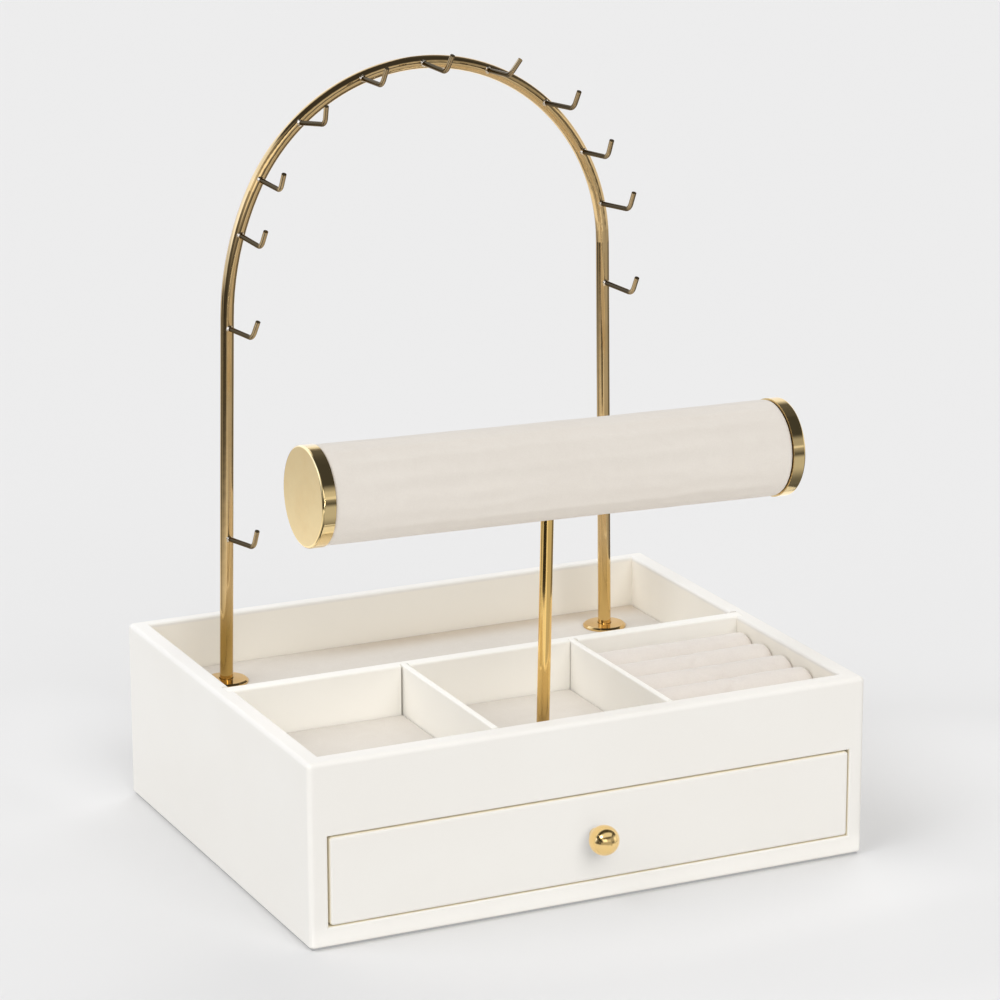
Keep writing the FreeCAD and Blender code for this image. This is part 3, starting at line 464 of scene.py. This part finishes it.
def ring_roll(k):
    node = "ring_roll_%d" % k
    lo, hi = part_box(node)
    yc = (lo.y + hi.y) / 2
    nu, nv = 44, 46
    half = pitch_y / 2 - 0.00035
    verts, us = [], []
    for i in range(nu):
        t = i / (nu - 1)
        x = roll_x0 + 0.0002 + (roll_x1 - roll_x0 - 0.0004) * t
        end = min(x - roll_x0, roll_x1 - x)
        e = math.sqrt(max(0.0, 1 - (1 - min(1.0, end / 0.0032)) ** 2))
        drop = 0.0011 * (1 - e)
        for y, z in roll_section(nv, half * (1 - 0.04 * (1 - e)), BASE_Z + 0.0001, CREST_Z - 0.0007 - drop):
            verts.append((x, yc + y, z))
            us.append((t, y, z))
    faces = tube_faces(nu, nv)
    # end walls: rings drawn in to a centre
    for end_i, sign in ((0, 1), (nu - 1, -1)):
        base = [end_i * nv + j for j in range(nv)]
        c = np.mean([verts[j] for j in base], axis=0)
        prev = base
        for q in (0.66, 0.33):
            ring = []
            for j in base:
                p = np.array(verts[j]) * q + c * (1 - q)
                p[0] = verts[base[0]][0]
                ring.append(len(verts))
                verts.append(tuple(p))
            for j in range(nv):
                kk = (j + 1) % nv
                quad = (prev[j], ring[j], ring[kk], prev[kk])
                faces.append(quad if sign > 0 else quad[::-1])
            prev = ring
        hub = len(verts)
        verts.append(tuple(c))
        for j in range(nv):
            kk = (j + 1) % nv
            tri = (prev[j], hub, prev[kk])
            faces.append(tri if sign > 0 else tri[::-1])
    v = np.array(verts, float)
    pinned = np.where(v[:, 2] < BASE_Z + 0.0006)[0]
    v = inflate(v, faces, 10.0, pinned, 3.0, 0.0009, -0.012)
    # hand-stuffed unevenness, and small tucks where the velvet dives between the rolls
    w1, w2 = wobble(v, 42.0, k), wobble(v * np.array([1, 0.2, 0.2]), 160.0, k + 9)
    upness = smoothstep(0.066, 0.075, v[:, 2])
    v[:, 2] += upness * (0.00022 * w1)
    side = smoothstep(0.45, 0.95, np.abs(v[:, 1] - yc) / (pitch_y / 2))
    v[:, 2] += upness * side * 0.00014 * w2
    v[:, 1] += upness * 0.00012 * w1
    # it stays in its own place
    v[:, 0] = np.clip(v[:, 0], roll_x0 + 0.00005, roll_x1 - 0.00005)
    v[:, 1] = np.clip(v[:, 1], yc - pitch_y / 2 + 0.00004, yc + pitch_y / 2 - 0.00004)
    v[:, 2] = np.clip(v[:, 2], BASE_Z + 0.00002, CREST_Z + 0.0006)
    o = make("ring_roll_pad_%d" % k, v, faces, "roll_velvet", "case")
    subdivided(o)
    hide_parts(node)
    return o


rolls = [ring_roll(k) for k in range(1, 6)]

# bracelet bar: velvet drawn tight over foam, tucked in at both end caps, closed by a seam underneath
LEAN = math.radians(1.2)
BAR = Matrix.Translation((-0.0035, -0.0543, 0.0567)) @ Matrix.Rotation(LEAN, 4, "Y")
BAR_Z, BAR_SHIFT, BAR_HALF, BAR_R = 0.12145, 0.0004, 0.1059, 0.0212


def bar_cushion():
    nu, nv = 118, 84
    verts, faces = [], []
    for i in range(nu):
        t = i / (nu - 1)
        s = -1 + 2 * t
        s = math.copysign(1 - (1 - abs(s)) ** 1.12, s)
        x = BAR_SHIFT + s * (BAR_HALF - 0.00005)
        end = BAR_HALF - abs(x - BAR_SHIFT)
        tuck = 0.0007 * (1 - math.sqrt(max(0.0, 1 - (1 - min(1.0, end / 0.0011)) ** 2)))
        for j in range(nv):
            a = 2 * math.pi * j / nv
            r = BAR_R - 0.00035 - tuck
            verts.append((x, r * math.cos(a), BAR_Z + r * math.sin(a)))
    faces = [f[::-1] for f in tube_faces(nu, nv)]
    # the skin turns in over the core at each end, and an inner wall closes the pad
    for end_i, sign in ((0, 1), (nu - 1, -1)):
        ring = []
        for j in range(nv):
            p = verts[end_i * nv + j]
            a = 2 * math.pi * j / nv
            ring.append(len(verts))
            verts.append((p[0], 0.0182 * math.cos(a), BAR_Z + 0.0182 * math.sin(a)))
        for j in range(nv):
            k = (j + 1) % nv
            quad = (end_i * nv + j, end_i * nv + k, ring[k], ring[j])
            faces.append(quad if sign > 0 else quad[::-1])
        if end_i == 0:
            first = ring
        else:
            for j in range(nv):
                k = (j + 1) % nv
                faces.append((first[j], first[k], ring[k], ring[j]))
    v = np.array(verts, float)
    outer = nu * nv
    pinned = list(range(outer, len(v))) + list(range(0, 2 * nv)) + list(range((nu - 2) * nv, outer))
    v = inflate(v, faces, 6.0, pinned, 2.0, 0.0004)
    ax = v[:outer, 0]
    ry, rz = v[:outer, 1], v[:outer, 2] - BAR_Z
    rad = np.hypot(ry, rz)
    ang = np.arctan2(rz, ry)
    near_end = 1 - smoothstep(0.0, 0.006, BAR_HALF - np.abs(ax - BAR_SHIFT))
    puff = 0.00010 * wobble(v[:outer], 38.0, 3) + 0.00005 * wobble(v[:outer], 140.0, 4)
    tucks = 0.00010 * near_end * np.sin(ang * 31 + 1.7 * np.sin(ang * 3))
    # seam along the underside, towards the back
    off = np.abs((ang - math.radians(-68) + math.pi) % (2 * math.pi) - math.pi) * BAR_R
    seam = -0.0005 * np.exp(-((off / 0.0006) ** 2)) + 0.00018 * np.exp(-(((off - 0.0017) / 0.0009) ** 2))
    # drawn in round the post
    post = np.hypot(v[:outer, 0], v[:outer, 1])
    dimple = -0.0009 * (1 - smoothstep(0.0026, 0.0062, post)) * (rz < 0)
    rad = np.minimum(rad + puff + tucks + seam + dimple, BAR_R + 0.00012)
    v[:outer, 1], v[:outer, 2] = rad * np.cos(ang), BAR_Z + rad * np.sin(ang)
    v[:, 0] = np.clip(v[:, 0], BAR_SHIFT - BAR_HALF, BAR_SHIFT + BAR_HALF)
    v = np.array([BAR @ Vector(p) for p in v])
    o = make("bar_cushion", v, faces, "velvet", "case")
    subdivided(o)
    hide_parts("bar_sleeve")
    return o


bar_cushion()


# floor linings: cut pieces with slightly soft edges and holes where the posts pass
def lining(name, node, spec, edge, step, lift, crown, seed):
    lo, hi = (np.array(c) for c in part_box(node))
    lo, hi = lo.copy(), hi.copy()
    thick = hi[2] - lo[2]
    corner = 0.0012
    inset = 0.00008
    x0, y0, x1, y1 = lo[0] + inset, lo[1] + inset, hi[0] - inset, hi[1] - inset

    def outline(d):
        pts = []
        for cx, cy, a0 in ((x1 - corner, y0 + corner, -90), (x1 - corner, y1 - corner, 0), (x0 + corner, y1 - corner, 90), (x0 + corner, y0 + corner, 180)):
            for q in range(4):
                a = math.radians(a0 + 30 * q)
                pts.append((cx + (corner - d) * math.cos(a), cy + (corner - d) * math.sin(a)))
        full = []
        for i, p in enumerate(pts):
            q = pts[(i + 1) % len(pts)]
            n = max(1, int(math.hypot(q[0] - p[0], q[1] - p[1]) / step))
            full += [(p[0] + (q[0] - p[0]) * k / n, p[1] + (q[1] - p[1]) * k / n) for k in range(n)]
        return full

    def circle(c, r, n=28):
        return [(c[0] + r * math.cos(-2 * math.pi * k / n), c[1] + r * math.sin(-2 * math.pi * k / n)) for k in range(n)]

    # rings from the bottom edge up and over the rounded rim
    prof = [(0.0, 0.0), (0.0, thick - edge), (edge * 0.3, thick - edge * 0.3), (edge, thick)]
    loops = [[outline(d) for d, _ in prof]] + [[circle(c, r + d) for d, _ in prof] for c, r in spec]
    verts, faces = [], []
    inner = []
    bottoms = []
    for rings in loops:
        ids = []
        for (d, z), ring in zip(prof, rings):
            ids.append(list(range(len(verts), len(verts) + len(ring))))
            verts += [(p[0], p[1], lo[2] + z) for p in ring]
        n = min(len(r) for r in ids)
        for a, b in zip(ids, ids[1:]):
            for j in range(n):
                k = (j + 1) % n
                faces.append((a[j], a[k], b[k], b[j]))
        inner.append(ids[-1])
        bottoms.append(ids[0])
    # top surface
    pts2 = [Vector(verts[i][:2]) for ring in inner for i in ring]
    back = [i for ring in inner for i in ring]
    edges, at = [], 0
    for ring in inner:
        edges += [(at + j, at + (j + 1) % len(ring)) for j in range(len(ring))]
        at += len(ring)
    gx, gy = int((x1 - x0) / step), int((y1 - y0) / step)
    for i in range(1, gx):
        for j in range(1, gy):
            p = (x0 + (x1 - x0) * i / gx, y0 + (y1 - y0) * j / gy)
            if min(p[0] - x0, x1 - p[0], p[1] - y0, y1 - p[1]) < edge + step * 0.45:
                continue
            if any(math.hypot(p[0] - c[0], p[1] - c[1]) < r + edge + step * 0.45 for c, r in spec):
                continue
            pts2.append(Vector(p))
    got = geometry.delaunay_2d_cdt(pts2, edges, [], 0, 1e-7)
    new_pts, tris, orig = got[0], got[2], got[3]
    remap = []
    for i, p in enumerate(new_pts):
        src = [q for q in orig[i] if q < len(back)]
        if src:
            remap.append(back[src[0]])
        else:
            remap.append(len(verts))
            verts.append((p.x, p.y, lo[2] + thick))

    def inside(p):
        if not (x0 < p[0] < x1 and y0 < p[1] < y1):
            return False
        return all(math.hypot(p[0] - c[0], p[1] - c[1]) > r + edge * 0.9 for c, r in spec)

    for t in tris:
        c = sum((new_pts[i] for i in t), Vector((0, 0))) / len(t)
        if inside(c):
            f = [remap[i] for i in t]
            a, b2, c2 = (Vector(verts[i]) for i in f[:3])
            if (b2 - a).cross(c2 - a).z < 0:
                f = f[::-1]
            faces.append(tuple(f))
    # underside: the outline and the holes, flat
    pts3 = [Vector(verts[i][:2]) for ring in bottoms for i in ring]
    back3 = [i for ring in bottoms for i in ring]
    edges, at = [], 0
    for ring in bottoms:
        edges += [(at + j, at + (j + 1) % len(ring)) for j in range(len(ring))]
        at += len(ring)
    got = geometry.delaunay_2d_cdt(pts3, edges, [], 0, 1e-7)
    for t in got[2]:
        c = sum((got[0][i] for i in t), Vector((0, 0))) / len(t)
        if all(math.hypot(c[0] - cc[0], c[1] - cc[1]) > r * 0.999 for cc, r in spec):
            f = [back3[got[3][i][0]] for i in t]
            a, b2, c2 = (Vector(verts[i]) for i in f[:3])
            if (b2 - a).cross(c2 - a).z > 0:
                f = f[::-1]
            faces.append(tuple(f))
    v = np.array(verts, float)
    top = v[:, 2] > lo[2] + thick * 0.9
    e = np.minimum(np.minimum(v[:, 0] - x0, x1 - v[:, 0]), np.minimum(v[:, 1] - y0, y1 - v[:, 1]))
    for c, r in spec:
        e = np.minimum(e, np.hypot(v[:, 0] - c[0], v[:, 1] - c[1]) - r)
    rise = smoothstep(0.0, 0.006, e)
    v[top, 2] += (rise * (crown + lift * wobble(v * np.array([1, 1, 0]), 36.0, seed)))[top]
    o = make(name, v, faces, "lining_felt", "case" if node != "drawer_liner" else "drawer")
    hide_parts(node)
    return o, (x1 - x0, y1 - y0)


felt, cut = lining("rear_floor_felt", "rear_floor_liner", [((-0.09495, 0.0817), 0.0035), ((0.09495, 0.0817), 0.0035)], 0.0003, 0.004, 0.00006, 0.0, 1)
felt, cut = lining("drawer_felt", "drawer_liner", [], 0.0003, 0.004, 0.00008, 0.0, 2)
pad, cut = lining("left_compartment_pad", "left_compartment_liner", [], 0.0007, 0.003, 0.00007, 0.00006, 3)
pad, cut = lining("middle_compartment_pad", "middle_compartment_liner", [((-0.0035, -0.0543), 0.0033)], 0.0007, 0.003, 0.00007, 0.00006, 4)


# solder at the root of each hook: a small fillet of brass round the wire
HOOKS = [
    (-93.28, 124.5, 5.2, 5.0, 0.2),
    (-90.92, 220.1, 2.6, 1.6, 6.7),
    (-84.87, 261.3, 0.2, -1.9, 3.3),
    (-74.93, 284.9, -1.0, -0.9, 0.5),
    (-56.10, 308.1, 5.1, 7.3, -6.4),
    (-26.00, 325.6, -3.2, 1.5, 6.3),
    (3.00, 330.4, 0.2, -1.1, 7.5),
    (34.47, 324.8, -3.3, 3.2, 25.0),
    (62.46, 308.0, 4.9, 2.4, 3.6),
    (81.60, 284.2, 0.4, 3.6, 0.5),
    (90.84, 259.6, 4.5, 3.5, 0.2),
    (93.06, 222.9, 3.2, -0.6, -0.8),
    (94.16, 124.5, -2.0, 5.0, -0.5),
]
for i, (x, z, fan, rise, twist) in enumerate(HOOKS, 1):
    turn = Matrix.Rotation(math.radians(fan), 4, "Z") @ Matrix.Rotation(math.radians(twist), 4, "Y") @ Matrix.Rotation(math.radians(-rise), 4, "X")
    at = Matrix.Translation((x * MM, 0.0817, z * MM)) @ turn
    prof = [(1.05, 2.6), (1.72, 2.62), (1.66, 2.85), (1.42, 3.1), (1.22, 3.45), (1.12, 3.9), (1.04, 3.95)]
    verts, faces, n = [], [], 20
    for r, h in prof:
        for j in range(n):
            a = 2 * math.pi * j / n
            lump = 1 + 0.08 * math.sin(3 * a + i * 1.7) + 0.06 * math.sin(5 * a + i)
            rr = r * (lump if 1.2 < r else 1)
            verts.append(at @ Vector((rr * math.cos(a) * MM, -h * MM, rr * math.sin(a) * MM)))
    faces = tube_faces(len(prof), n)
    bead = make("hook_bead_%02d" % i, verts, faces, "brass", "case")
    bead.data.materials[0] = M["brass_solder"]
    subdivided(bead)


# ---------------------------------------------------------------- camera
yaw, pitch, roll = math.radians(25.32), math.radians(-15.83), math.radians(-0.11)
fwd = Vector((math.sin(yaw) * math.cos(pitch), math.cos(yaw) * math.cos(pitch), math.sin(pitch)))
right = Vector((math.cos(yaw), -math.sin(yaw), 0.0))
up = right.cross(fwd)
r2 = right * math.cos(roll) + up * math.sin(roll)
u2 = -right * math.sin(roll) + up * math.cos(roll)
cam_data = bpy.data.cameras.new("camera")
cam_data.sensor_width = 36.0
cam_data.lens = 140.01
cam_data.clip_start, cam_data.clip_end = 0.05, 60.0
cam_data.dof.use_dof = False
cam = bpy.data.objects.new("camera", cam_data)
scene.collection.objects.link(cam)
place = Matrix((r2, u2, -fwd)).transposed().to_4x4()
place.translation = Vector((-0.6921, -1.46773, 0.61156))
cam.matrix_world = place
scene.camera = cam

# ---------------------------------------------------------------- stage and light
scene.view_settings.view_transform = "Standard"
scene.view_settings.look = "None"
scene.view_settings.exposure = 0.0
scene.view_settings.gamma = 1.0

fm, ft, fb = material("floor_paper")
fv = coords(ft)
fp = xyz(ft, fv)


def pool(x, y, rx, ry, strength):
    """A soft oval on the floor paper that is a little lighter, or darker where strength is below nought; the lighter
    ovals are painted light thinning the tails of the case's shadows, the darker ones painted shade.
    """
    a, c = (fp[0] - x) * (1.0 / rx), (fp[1] - y) * (1.0 / ry)
    return (1.0 - (a * a + c * c).step(0.05, 1.0)) * strength


# painted light and painted shade on the floor: lighter ovals over the tails of the case's shadows, darker ones where
# the floor comes out too light
evened = 1.0 + pool(0.225, -0.045, 0.090, 0.120, 0.075) + pool(0.0, -0.132, 0.200, 0.050, 0.030)
evened = evened + pool(-0.125, 0.170, 0.060, 0.120, 0.040) + pool(-0.205, 0.090, 0.060, 0.090, -0.025) + pool(0.115, -0.200, 0.140, 0.055, -0.030)
paper = ft.nodes.new("ShaderNodeVectorMath")
paper.operation = "SCALE"
ft.links.new(mix_colour(ft, noise_of(ft, fv, 900.0, 2, 0.5), (0.737, 0.733, 0.730), (0.741, 0.737, 0.734)), paper.inputs[0])
ft.links.new(evened.s, paper.inputs["Scale"])
ft.links.new(paper.outputs[0], fb.inputs["Base Color"])
fb.inputs["Roughness"].default_value = 1.0
fb.inputs["Specular IOR Level"].default_value = 0.0


def ring_mesh(name, r0, r1, n=96):
    bm = bmesh.new()
    rows = []
    for r in ([r0, r1] if r0 > 0 else [r1]):
        rows.append([bm.verts.new((r * math.cos(2 * math.pi * i / n), r * math.sin(2 * math.pi * i / n), 0)) for i in range(n)])
    if len(rows) == 1:
        bm.faces.new(rows[0])
    else:
        for i in range(n):
            j = (i + 1) % n
            bm.faces.new((rows[0][i], rows[1][i], rows[1][j], rows[0][j]))
    me = bpy.data.meshes.new(name)
    bm.normal_update()
    bm.to_mesh(me)
    bm.free()
    o = bpy.data.objects.new(name, me)
    scene.collection.objects.link(o)
    me.materials.append(fm)
    return o


near_floor = ring_mesh("floor_near", 0, 0.20)
far_floor = ring_mesh("floor_far", 0.20, 14.0)
far_floor.visible_glossy = False

# light that the pale paper carries in under the case, so the thin gap at its foot isn't black
gm = bpy.data.materials.new("under_glow")
gm.use_nodes = True
gm.node_tree.nodes.clear()
glow = gm.node_tree.nodes.new("ShaderNodeEmission")
glow.inputs["Strength"].default_value = 0.40
gm.node_tree.links.new(glow.outputs[0], gm.node_tree.nodes.new("ShaderNodeOutputMaterial").inputs[0])
gm.cycles.emission_sampling = "NONE"
under = bpy.data.meshes.new("under_glow")
under.from_pydata([(-0.1288, -0.0968, 0.0003), (0.1288, -0.0968, 0.0003), (0.1288, 0.1115, 0.0003), (-0.1288, 0.1115, 0.0003)], [], [(0, 1, 2, 3)])
under.materials.append(gm)
under_glow = bpy.data.objects.new("under_glow", under)
scene.collection.objects.link(under_glow)
under_glow.visible_glossy = under_glow.visible_shadow = False

world = bpy.data.worlds.new("studio")
scene.world = world
world.use_nodes = True
world.cycles.sampling_method = "NONE"
wt = world.node_tree
wt.nodes.clear()
wo = wt.nodes.new("ShaderNodeOutputWorld")
d = xyz(wt, coords(wt, "Generated"))
to_cam = d[0] * -0.4277 + d[1] * -0.9039
to_right = d[0] * 0.9039 + d[1] * -0.4277
phi = to_right._op("ARCTAN2", to_cam) * 57.29578
elev = d[2]._op("ARCSINE") * 57.29578
around = phi.abs()


def patch(p, e, strength):
    """A soft-edged panel: p and e are (centre, half width, softness) in degrees round and up."""
    return strength * phi.bump_at(*p) * elev.bump_at(*e)


# what the polished metal sees: a pale sweep behind, panels at the sides, a dark room and ceiling in front
floor_level = (1.0 - elev.step(-14.0, -4.0)) * (0.10 + 0.48 * elev.step(-60.0, -30.0))
sweep = 1.25 * around.step(104.0, 118.0) * (1.0 - phi.step(0.0, 1.0) * 0.94) * elev.step(-76.0, -46.0) * (1.0 - elev.step(46.0, 72.0))
sweep_right = phi.step(146.0, 160.0) * (
    1.10 * elev.step(-70.0, -50.0) * (1.0 - elev.step(24.0, 44.0))
)
front = 0.42 * elev.step(-8.0, 8.0) * (1.0 - elev.step(22.0, 34.0)) * (1.0 - around.step(96.0, 108.0))
glossy = (
    0.07
    + floor_level * (1.0 - around.step(104.0, 118.0) * 0.75) * (1.0 - 0.70 * phi.bump_at(122.0, 26.0, 10.0) * elev.step(-56.0, -44.0)) * (1.0 - phi.bump_at(-50.0, 38.0, 10.0) * elev.step(-15.5, -13.0))
    + sweep
    + sweep_right
    + front * (1.0 - 0.8 * phi.bump_at(-40.0, 14.0, 10.0) * (1.0 - elev.step(12.0, 22.0)))
    + patch((-86.0, 20.0, 8.0), (4.0, 34.0, 12.0), 0.72)
    + patch((-88.0, 22.0, 8.0), (26.0, 14.0, 8.0), 0.70)
    - patch((-84.0, 20.0, 8.0), (-11.0, 6.0, 6.0), 0.48)
    + patch((-140.0, 24.0, 12.0), (26.0, 16.0, 8.0), 0.35)
    + patch((-52.0, 12.0, 8.0), (35.0, 9.0, 6.0), 0.95)
    + patch((4.0, 13.0, 7.0), (17.0, 7.0, 5.0), 1.25)
    + patch((32.0, 14.0, 8.0), (12.0, 6.0, 5.0), 0.35)
    + patch((-22.0, 34.0, 10.0), (-18.0, 2.0, 3.0), 0.55)
    + patch((120.0, 34.0, 10.0), (4.0, 11.0, 6.0), 0.85)
    + patch((-140.0, 34.0, 10.0), (60.0, 5.0, 8.0), 0.15)
    - patch((-138.0, 40.0, 12.0), (-15.5, 4.0, 4.0), 0.42)
    - patch((-138.0, 40.0, 12.0), (-10.5, 3.5, 2.5), 0.50)
    + patch((-22.0, 8.0, 6.0), (30.0, 14.0, 8.0), 0.30)
    + patch((-129.0, 9.0, 6.0), (-15.0, 4.0, 3.0), 0.26)
)
bg_soft = wt.nodes.new("ShaderNodeBackground")
bg_soft.inputs["Color"].default_value = (1, 1, 1, 1)
bg_soft.inputs["Strength"].default_value = 0.40
bg_gloss = wt.nodes.new("ShaderNodeBackground")
# daylight from behind on the left is cooler than the room
cool = phi.bump_at(-118.0, 52.0, 16.0) * elev.bump_at(25.0, 20.0, 14.0)
wt.links.new(mix_colour(wt, cool, (0.8, 0.8, 0.8), (0.74, 0.84, 1.08)), bg_gloss.inputs["Color"])
wt.links.new(glossy.s, bg_gloss.inputs["Strength"])
bg_cam = wt.nodes.new("ShaderNodeBackground")
bg_cam.inputs["Color"].default_value = (0.84, 0.84, 0.84, 1)
path = wt.nodes.new("ShaderNodeLightPath")
m1 = wt.nodes.new("ShaderNodeMixShader")
wt.links.new(path.outputs["Is Glossy Ray"], m1.inputs[0])
wt.links.new(bg_soft.outputs[0], m1.inputs[1])
wt.links.new(bg_gloss.outputs[0], m1.inputs[2])
m2 = wt.nodes.new("ShaderNodeMixShader")
wt.links.new(path.outputs["Is Camera Ray"], m2.inputs[0])
wt.links.new(m1.outputs[0], m2.inputs[1])
wt.links.new(bg_cam.outputs[0], m2.inputs[2])
wt.links.new(m2.outputs[0], wo.inputs[0])


def card(name, centre, towards, wide, tall, edge, light, tilt=0.0):
    """A soft-edged card that shows only as a reflection in the metal; light is its brightness, tilt its turn in its own plane."""
    m = bpy.data.materials.new(name)
    m.use_nodes = True
    t = m.node_tree
    t.nodes.clear()
    p = xyz(t, coords(t))
    mask = (1.0 - p[0].abs().step(wide / 2 - edge, wide / 2)) * (1.0 - p[1].abs().step(tall / 2 - edge, tall / 2))
    glow, clear, mix, out = (t.nodes.new("ShaderNode" + k) for k in ("Emission", "BsdfTransparent", "MixShader", "OutputMaterial"))
    glow.inputs["Strength"].default_value = light
    t.links.new(mask.s, mix.inputs[0])
    t.links.new(clear.outputs[0], mix.inputs[1])
    t.links.new(glow.outputs[0], mix.inputs[2])
    t.links.new(mix.outputs[0], out.inputs[0])
    m.cycles.emission_sampling = "NONE"
    me = bpy.data.meshes.new(name)
    me.from_pydata([(-wide / 2, -tall / 2, 0), (wide / 2, -tall / 2, 0), (wide / 2, tall / 2, 0), (-wide / 2, tall / 2, 0)], [], [(0, 1, 2, 3)])
    me.materials.append(m)
    o = bpy.data.objects.new(name, me)
    scene.collection.objects.link(o)
    o.location = centre
    turned = (Vector(towards) - Vector(centre)).to_track_quat("Z", "Y").to_matrix() @ Matrix.Rotation(math.radians(tilt), 3, "Z")
    o.rotation_euler = turned.to_euler()
    o.visible_camera = o.visible_diffuse = o.visible_shadow = o.visible_transmission = False


card("card_dark", (-0.1459, -0.2130, 0.0945), (-0.0475, -0.2308, 0.0945), 0.310, 0.072, 0.008, 0.03, 12.0)
card("card_spot", (-0.131, -0.204, 0.181), (-0.014, -0.193, 0.019), 0.082, 0.064, 0.010, 6.5)
card("card_above", (0.02, -0.225, 0.20), (0.02, -0.225, 0.0), 0.36, 0.17, 0.03, 0.80)
card("card_low", (-0.0104, -0.171, 0.026), (0.0, -0.112, 0.026), 0.115, 0.024, 0.006, 0.42)
NODES["drawer_knob"].visible_diffuse = False


def sun(name, travel, flat, spread, colour):
    """A broad soft light from infinity: travel is the way it shines, flat the share of white it gives a facing surface."""
    data = bpy.data.lights.new(name, "SUN")
    data.energy = flat * math.pi
    data.angle = math.radians(spread)
    data.color = colour
    o = bpy.data.objects.new(name, data)
    scene.collection.objects.link(o)
    o.rotation_euler = Vector(travel).to_track_quat("-Z", "Y").to_euler()
    o.visible_glossy = False
    return o


sun("light_front", (0.0, 0.788, -0.616), 0.43, 45, (1.0, 1.0, 1.0))
sun("light_left", (0.682, 0.0, -0.731), 0.420, 50, (0.992, 1.0, 1.018))
sun("light_low", (0.90, 0.36, -0.25), 0.085, 60, (0.94, 1.0, 1.07))
sun("light_back_right", (-0.557, -0.557, -0.616), 0.25, 45, (1.0, 1.0, 1.0))
